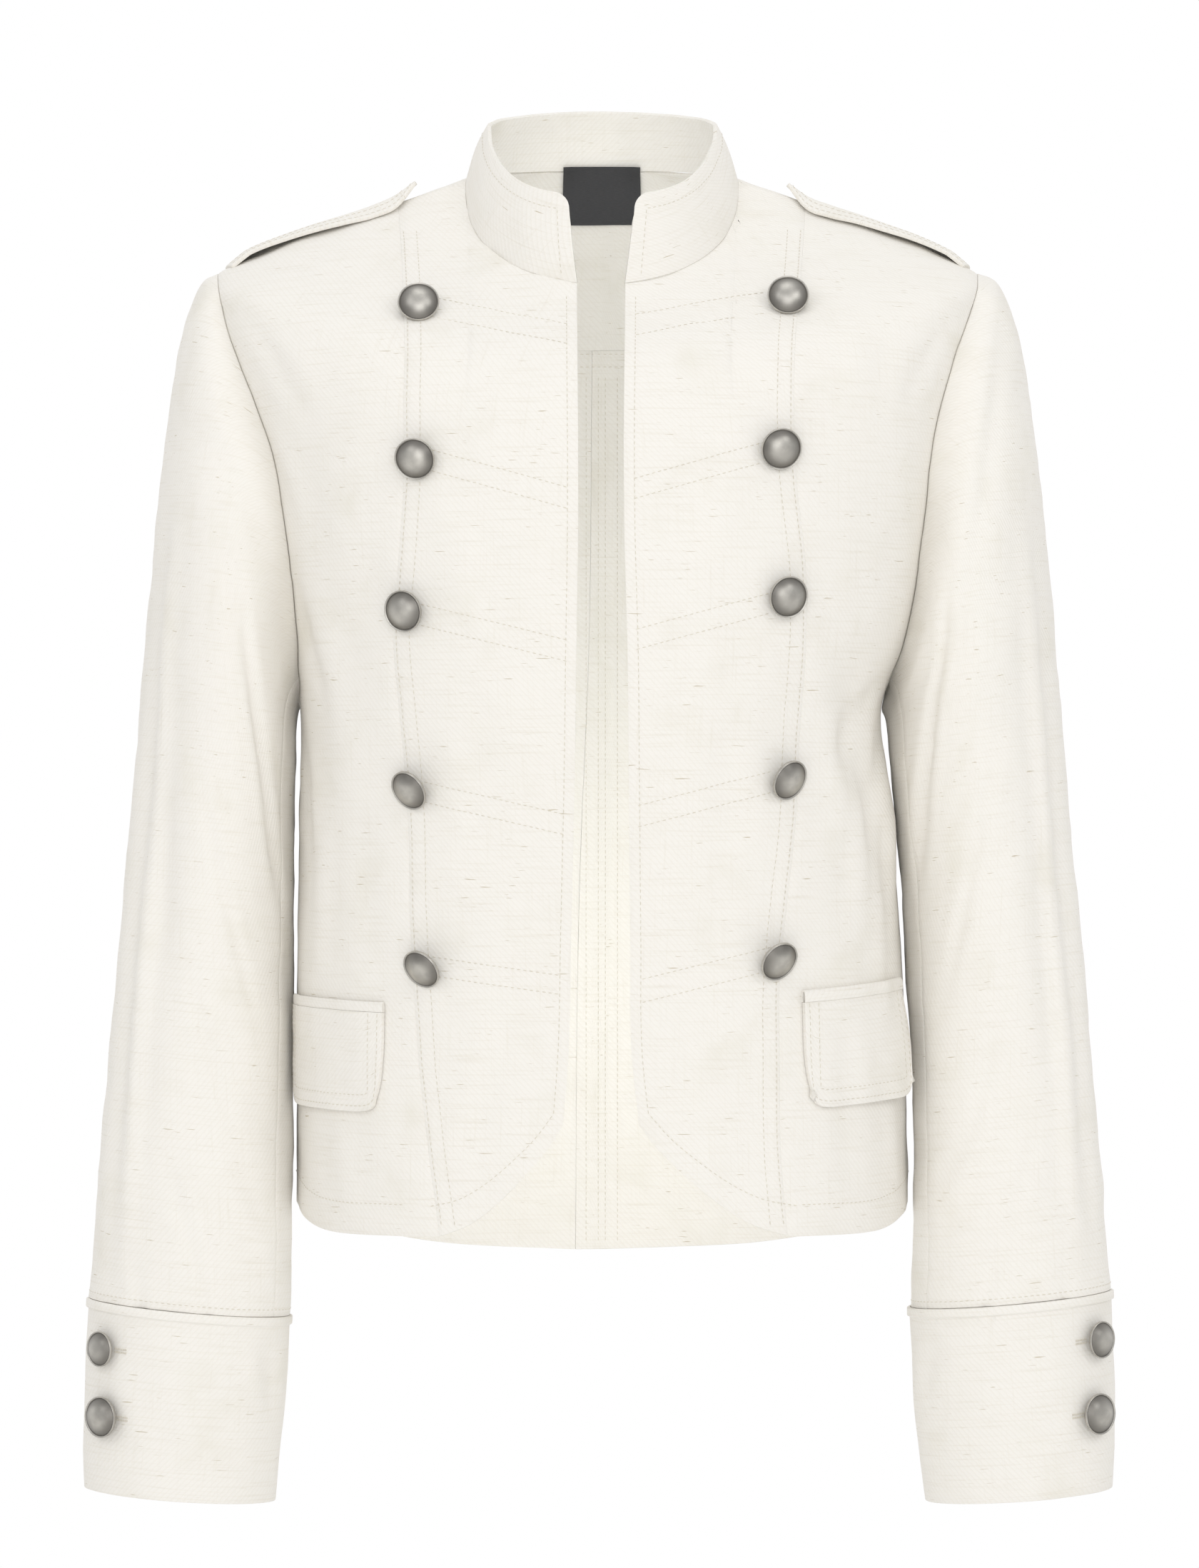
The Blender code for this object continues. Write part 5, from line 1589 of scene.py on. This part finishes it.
def flap_grid(pocket, out=0.0):
    """A flap from its seam down: the lower corners are drawn in, and the rear edge stands off the body."""
    across, angles, top = pocket_places(pocket)
    near_edge = np.abs(2 * across - 1) ** FLAP_SHARPNESS
    down = np.linspace(0.0, 1.0, FLAP_RINGS)[:, None]
    levels = top - pocket["flap_drop"] * down * (1.0 - FLAP_CORNER * near_edge)
    angles = angles + np.sign(0.5 - across) * FLAP_TUCK * near_edge * down**4
    stand = pocket["rear_stand"] * down * across**3
    sides = np.full(levels.shape, float(pocket["side"]))
    return torso(sides, angles, levels, LIFT + stand + FLAP_THICK + out)


def welt_grid(pocket):
    angles, top = pocket_places(pocket)[1:]
    levels = top + np.array(WELT_SECTION["rise"])[:, None]
    out = LIFT + np.array(WELT_SECTION["out"])[:, None]
    sides = np.full(levels.shape, float(pocket["side"]))
    return torso(sides, np.broadcast_to(angles, levels.shape), levels, np.broadcast_to(out, levels.shape))


class JACKET_OT_buttons(bpy.types.Operator):
    """Builds the shank buttons of the fronts and cuffs"""

    bl_idname = "jacket.buttons"
    bl_label = "Buttons"

    def execute(self, context):
        for button in rows_of(FRONT_BUTTONS):
            self.front_button(button)
        for button in rows_of(CUFF_BUTTONS):
            self.cuff_button(button)
        return {"FINISHED"}

    def turned(self, node, foot, way, scale):
        """A button turned about its shank, from its foot on the cloth outward."""
        way = unit(way)
        across = unit(np.cross((0.0, 0.0, 1.0), way))
        up = np.cross(way, across)
        turn = np.linspace(0.0, 2 * math.pi, bpy.context.scene.jacket_sizes.button_sides + 1)
        radius = np.array(BUTTON["radius"])[:, None] * scale
        height = np.array(BUTTON["height"])[:, None, None] * scale
        circle = np.cos(turn)[None, :, None] * across + np.sin(turn)[None, :, None] * up
        grid = foot + radius[..., None] * circle + height * way
        middle = foot + way * BUTTON_MIDDLE * scale
        share = radius / (BUTTON_RADIUS * scale)
        spread = np.broadcast_arrays(turn, share)

        def toward(point):
            return (point - middle).tolist()

        piece = shaped_grid("metal_" + node, grid, toward, closed=True, spread=spread)
        dress(piece, material_for("silver"), [node])

    def front_button(self, button):
        side = button["side"]
        place = place_on_body(side, button["out"], button["height"])
        here = [np.float64(value) for value in (side, *place)]
        normal = torso_normal(*here)
        droop = math.radians(button["droop"])
        stand = SHANK_RADIUS * math.sin(droop + math.radians(abs(button["turn"])))
        flat = math.atan2(normal[0], -normal[1]) + math.radians(button["turn"]) * side
        rise = math.asin(normal[2]) - droop
        way = np.array((math.sin(flat) * math.cos(rise), -math.cos(flat) * math.cos(rise), math.sin(rise)))
        node = "button_front_" + SIDE_NAMES[side] + "_" + str(button["row"])
        self.turned(node, torso(*here, stand), way, 1.0)

    def cuff_button(self, button):
        name = SIDE_NAMES[button["side"]]
        turn = math.radians(button["around"])
        height = button["height"]
        spot = fine_cuff_ring(button["side"], height, np.array([turn]))[0]
        half = (cuff_column(name + "_outer", height) - cuff_column(name + "_inner", height)) / 2
        deep = cuff_column("deep", height)
        way = unit(np.array((button["side"] * math.cos(turn) / half, -math.sin(turn) / deep, 0.0)))
        node = "button_cuff_" + name + "_" + str(button["row"])
        self.turned(node, spot + way * SHANK_GAP, way, button["size"])


def buttonhole(button):
    """Short stitches across the two lips of a buttonhole, on the inner side of its button."""
    side = button["side"]
    start = button["around"] + HOLE_START
    lines = []
    for degrees in np.arange(start, start + HOLE_LONG, HOLE_PITCH):
        turn = np.array([math.radians(degrees)])
        for lip in (-HOLE_LIP, HOLE_LIP):
            heights = (button["height"] + (lip - HOLE_BITE), button["height"] + (lip + HOLE_BITE))
            ends = np.array([fine_cuff_ring(side, height, turn)[0] for height in heights])
            out = unit((ends - np.array((side * CUFF_OUT, CUFF_MIDDLE, 0.0))) * (1.0, 1.0, 0.0))
            lines.append((ends + out * 2.0 * STITCH_OUT, out))
    return lines


class JACKET_OT_stitches(bpy.types.Operator):
    """Sews the rows of stitching that show"""

    bl_idname = "jacket.stitches"
    bl_label = "Stitching"

    def execute(self, context):
        for side, name in ((-1, "right"), (1, "left")):
            lay_stitches("stitching_front_" + name, self.front(side, name))
            lay_stitches("stitching_back_" + name, self.back(side))
            lay_stitches("stitching_sleeve_" + name, self.sleeve(side))
            straps = [epaulette_line(side, inset) for inset in EPAULETTE_STITCHES]
            lay_stitches("stitching_epaulette_" + name, straps)
        lay_stitches("stitching_collar", self.collar())
        for pocket in rows_of(POCKETS):
            lay_stitches("stitching_pocket_" + SIDE_NAMES[pocket["side"]], self.pocket(pocket))
        return {"FINISHED"}

    def front(self, side, name):
        """Front edge, rounded corner, princess seam, hem, and the rows from each button to the edge."""
        heights = np.linspace(-62, -452, 140)
        edge = smooth_between(FRONT_EDGE["height"], FRONT_EDGE[name], heights)
        lines = [front_line(side, edge + EDGE_STITCH, heights)]
        share = np.linspace(0.0, 1.0, 40)
        start, end = cutaway_ends(side)
        outs = start + EDGE_STITCH + (end - start) * share
        heights = smooth_between(CUTAWAY["out"], CUTAWAY["height"], share)
        lines.append(front_line(side, outs, heights + EDGE_STITCH + CORNER_STITCH * share))
        heights = np.linspace(-26, -505, 150)
        seam = smooth_between(PRINCESS["height"], PRINCESS[name], heights)
        for away in PRINCESS_STITCHES:
            lines.append(front_line(side, seam - away, heights))
        lines.append(hem_line(side, 36, 90, 60))
        for band in rows_of(BANDS):
            if band["side"] != side:
                continue
            outs = np.linspace(band["outer"] + 7, band["inner"], 24)
            for drop in (0.0, band["apart"]):
                heights = np.linspace(band["outer_height"] - drop + 1.5, band["inner_height"] - drop, 24)
                lines.append(front_line(side, outs, heights))
        return lines

    def back(self, side):
        """Hem, yoke seam and centre seam. The two seams' stitches show on the inside as well."""
        lines = [hem_line(side, 90, 180, 80)]
        seam = yoke_seam(side)
        levels = np.linspace(-88, -528, 130)
        rows = [(seam[:, 0], seam[:, 1] - away) for away in BACK_STITCHES]
        for away in BACK_STITCHES:
            rows.append((angle_for(side, np.full_like(levels, away), levels, rear=True), levels))
        for row in rows:
            for out in (STITCH_OUT, INSIDE_STITCH - CLOTH):
                lines.append(body_line(side, *row, out))
        return lines

    def sleeve(self, side):
        """The row above the cuff, and the cuff's buttonholes."""
        cloth = sleeve_cloth(side)
        ring, out = (np.concatenate((grid[-2], grid[-2, :1])) for grid in (cloth, ring_normals(cloth)))
        lines = [(ring + out * STITCH_OUT, out)]
        for button in rows_of(CUFF_BUTTONS):
            if button["side"] == side:
                lines.extend(buttonhole(button))
        return lines

    def collar(self):
        """One row below the rim and one down each front end."""
        grid = collar_grid()
        normal = collar_normals(grid)
        lines = []
        for part in ((-4, slice(8, -8)), (slice(1, -3), 8), (slice(1, -3), -9)):
            lines.append((grid[part] + normal[part] * STITCH_OUT, normal[part]))
        return lines

    def pocket(self, pocket):
        """Two rows round the flap's free edges."""
        grid = flap_grid(pocket, STITCH_OUT)
        lines = []
        for inset in (1, 3):
            front = grid[:-inset, inset]
            rim = np.concatenate((front, grid[-1 - inset, inset:-inset], grid[::-1, -1 - inset][inset:]))
            lines.append((rim, unit(rim * (1.0, 1.0, 0.0))))
        return lines


class JACKET_OT_stage(bpy.types.Operator):
    """Adds the floor, the lights and the camera"""

    bl_idname = "jacket.stage"
    bl_label = "Stage"

    def execute(self, context):
        deselect()
        bpy.ops.mesh.primitive_plane_add(size=FLOOR_SIZE, location=(0.0, 0.0, FLOOR_HEIGHT))
        floor = context.active_object
        floor.name = "studio_floor"
        floor.data.materials.append(material_for("floor"))
        self.world(context)
        for name, place, aim, wide, high, power, colour in LIGHTS:
            bpy.ops.object.light_add(type="AREA", location=place)
            light = context.active_object
            light.name = name
            light.data.shape = "RECTANGLE"
            light.data.size = wide
            light.data.size_y = high
            light.data.energy = power
            light.data.color = colour
            light.visible_camera = False
            way = Vector(aim) - Vector(place)
            light.rotation_euler = way.to_track_quat("-Z", "Y").to_euler()
        bpy.ops.object.camera_add(location=CAMERA_PLACE, rotation=(math.radians(90), 0.0, 0.0))
        camera = context.active_object
        camera.name = "photo_camera"
        camera.data.lens = CAMERA_LENS
        camera.data.sensor_width = CAMERA_SENSOR
        context.scene.camera = camera
        context.scene.view_settings.view_transform = "Standard"
        return {"FINISHED"}

    def world(self, context):
        """White paper behind the jacket, and the dimmer room in front of it."""
        world = bpy.data.worlds.new("white_studio")
        world.use_nodes = True
        tree = world.node_tree
        tree.nodes.clear()
        way = add_node(tree, "ShaderNodeTexCoord").outputs["Generated"]
        parts = add_node(tree, "ShaderNodeSeparateXYZ", {}, {"Vector": way})
        level = ramp(tree, parts.outputs["Y"], -0.35, 0.4, ROOM_LEVEL)
        sky = add_node(tree, "ShaderNodeBackground", {"Color": (1.0, 1.0, 1.0, 1.0)}, {"Strength": level})
        output = add_node(tree, "ShaderNodeOutputWorld")
        tree.links.new(sky.outputs["Background"], output.inputs["Surface"])
        context.scene.world = world


class JACKET_PT_panel(bpy.types.Panel):
    """Lists the jacket's builders"""

    bl_idname = "JACKET_PT_panel"
    bl_label = "Linen Jacket"
    bl_space_type = "VIEW_3D"
    bl_region_type = "UI"
    bl_category = "Jacket"

    def draw(self, context):
        layout = self.layout
        sizes = context.scene.jacket_sizes
        for name in ("crease", "rumple", "stitch_pitch", "stitch_length", "stitch_thickness", "button_sides"):
            layout.prop(sizes, name)
        layout.prop(context.scene.jacket_colours, "linen")
        for operator in OPERATORS:
            layout.operator(operator.bl_idname)


OPERATORS = (
    JACKET_OT_fronts,
    JACKET_OT_back,
    JACKET_OT_sleeves,
    JACKET_OT_collar,
    JACKET_OT_trims,
    JACKET_OT_buttons,
    JACKET_OT_stitches,
    JACKET_OT_stage,
)
CLASSES = (JacketSizes, JacketColours, *OPERATORS, JACKET_PT_panel)


def register():
    for item in CLASSES:
        bpy.utils.register_class(item)
    bpy.types.Scene.jacket_sizes = PointerProperty(type=JacketSizes)
    bpy.types.Scene.jacket_colours = PointerProperty(type=JacketColours)


def unregister():
    del bpy.types.Scene.jacket_colours
    del bpy.types.Scene.jacket_sizes
    for item in reversed(CLASSES):
        bpy.utils.unregister_class(item)


def main():
    register()
    bpy.ops.jacket.fronts()
    bpy.ops.jacket.back()
    bpy.ops.jacket.sleeves()
    bpy.ops.jacket.collar()
    bpy.ops.jacket.trims()
    bpy.ops.jacket.buttons()
    bpy.ops.jacket.stitches()
    bpy.ops.jacket.stage()


if __name__ == "__main__":
    main()
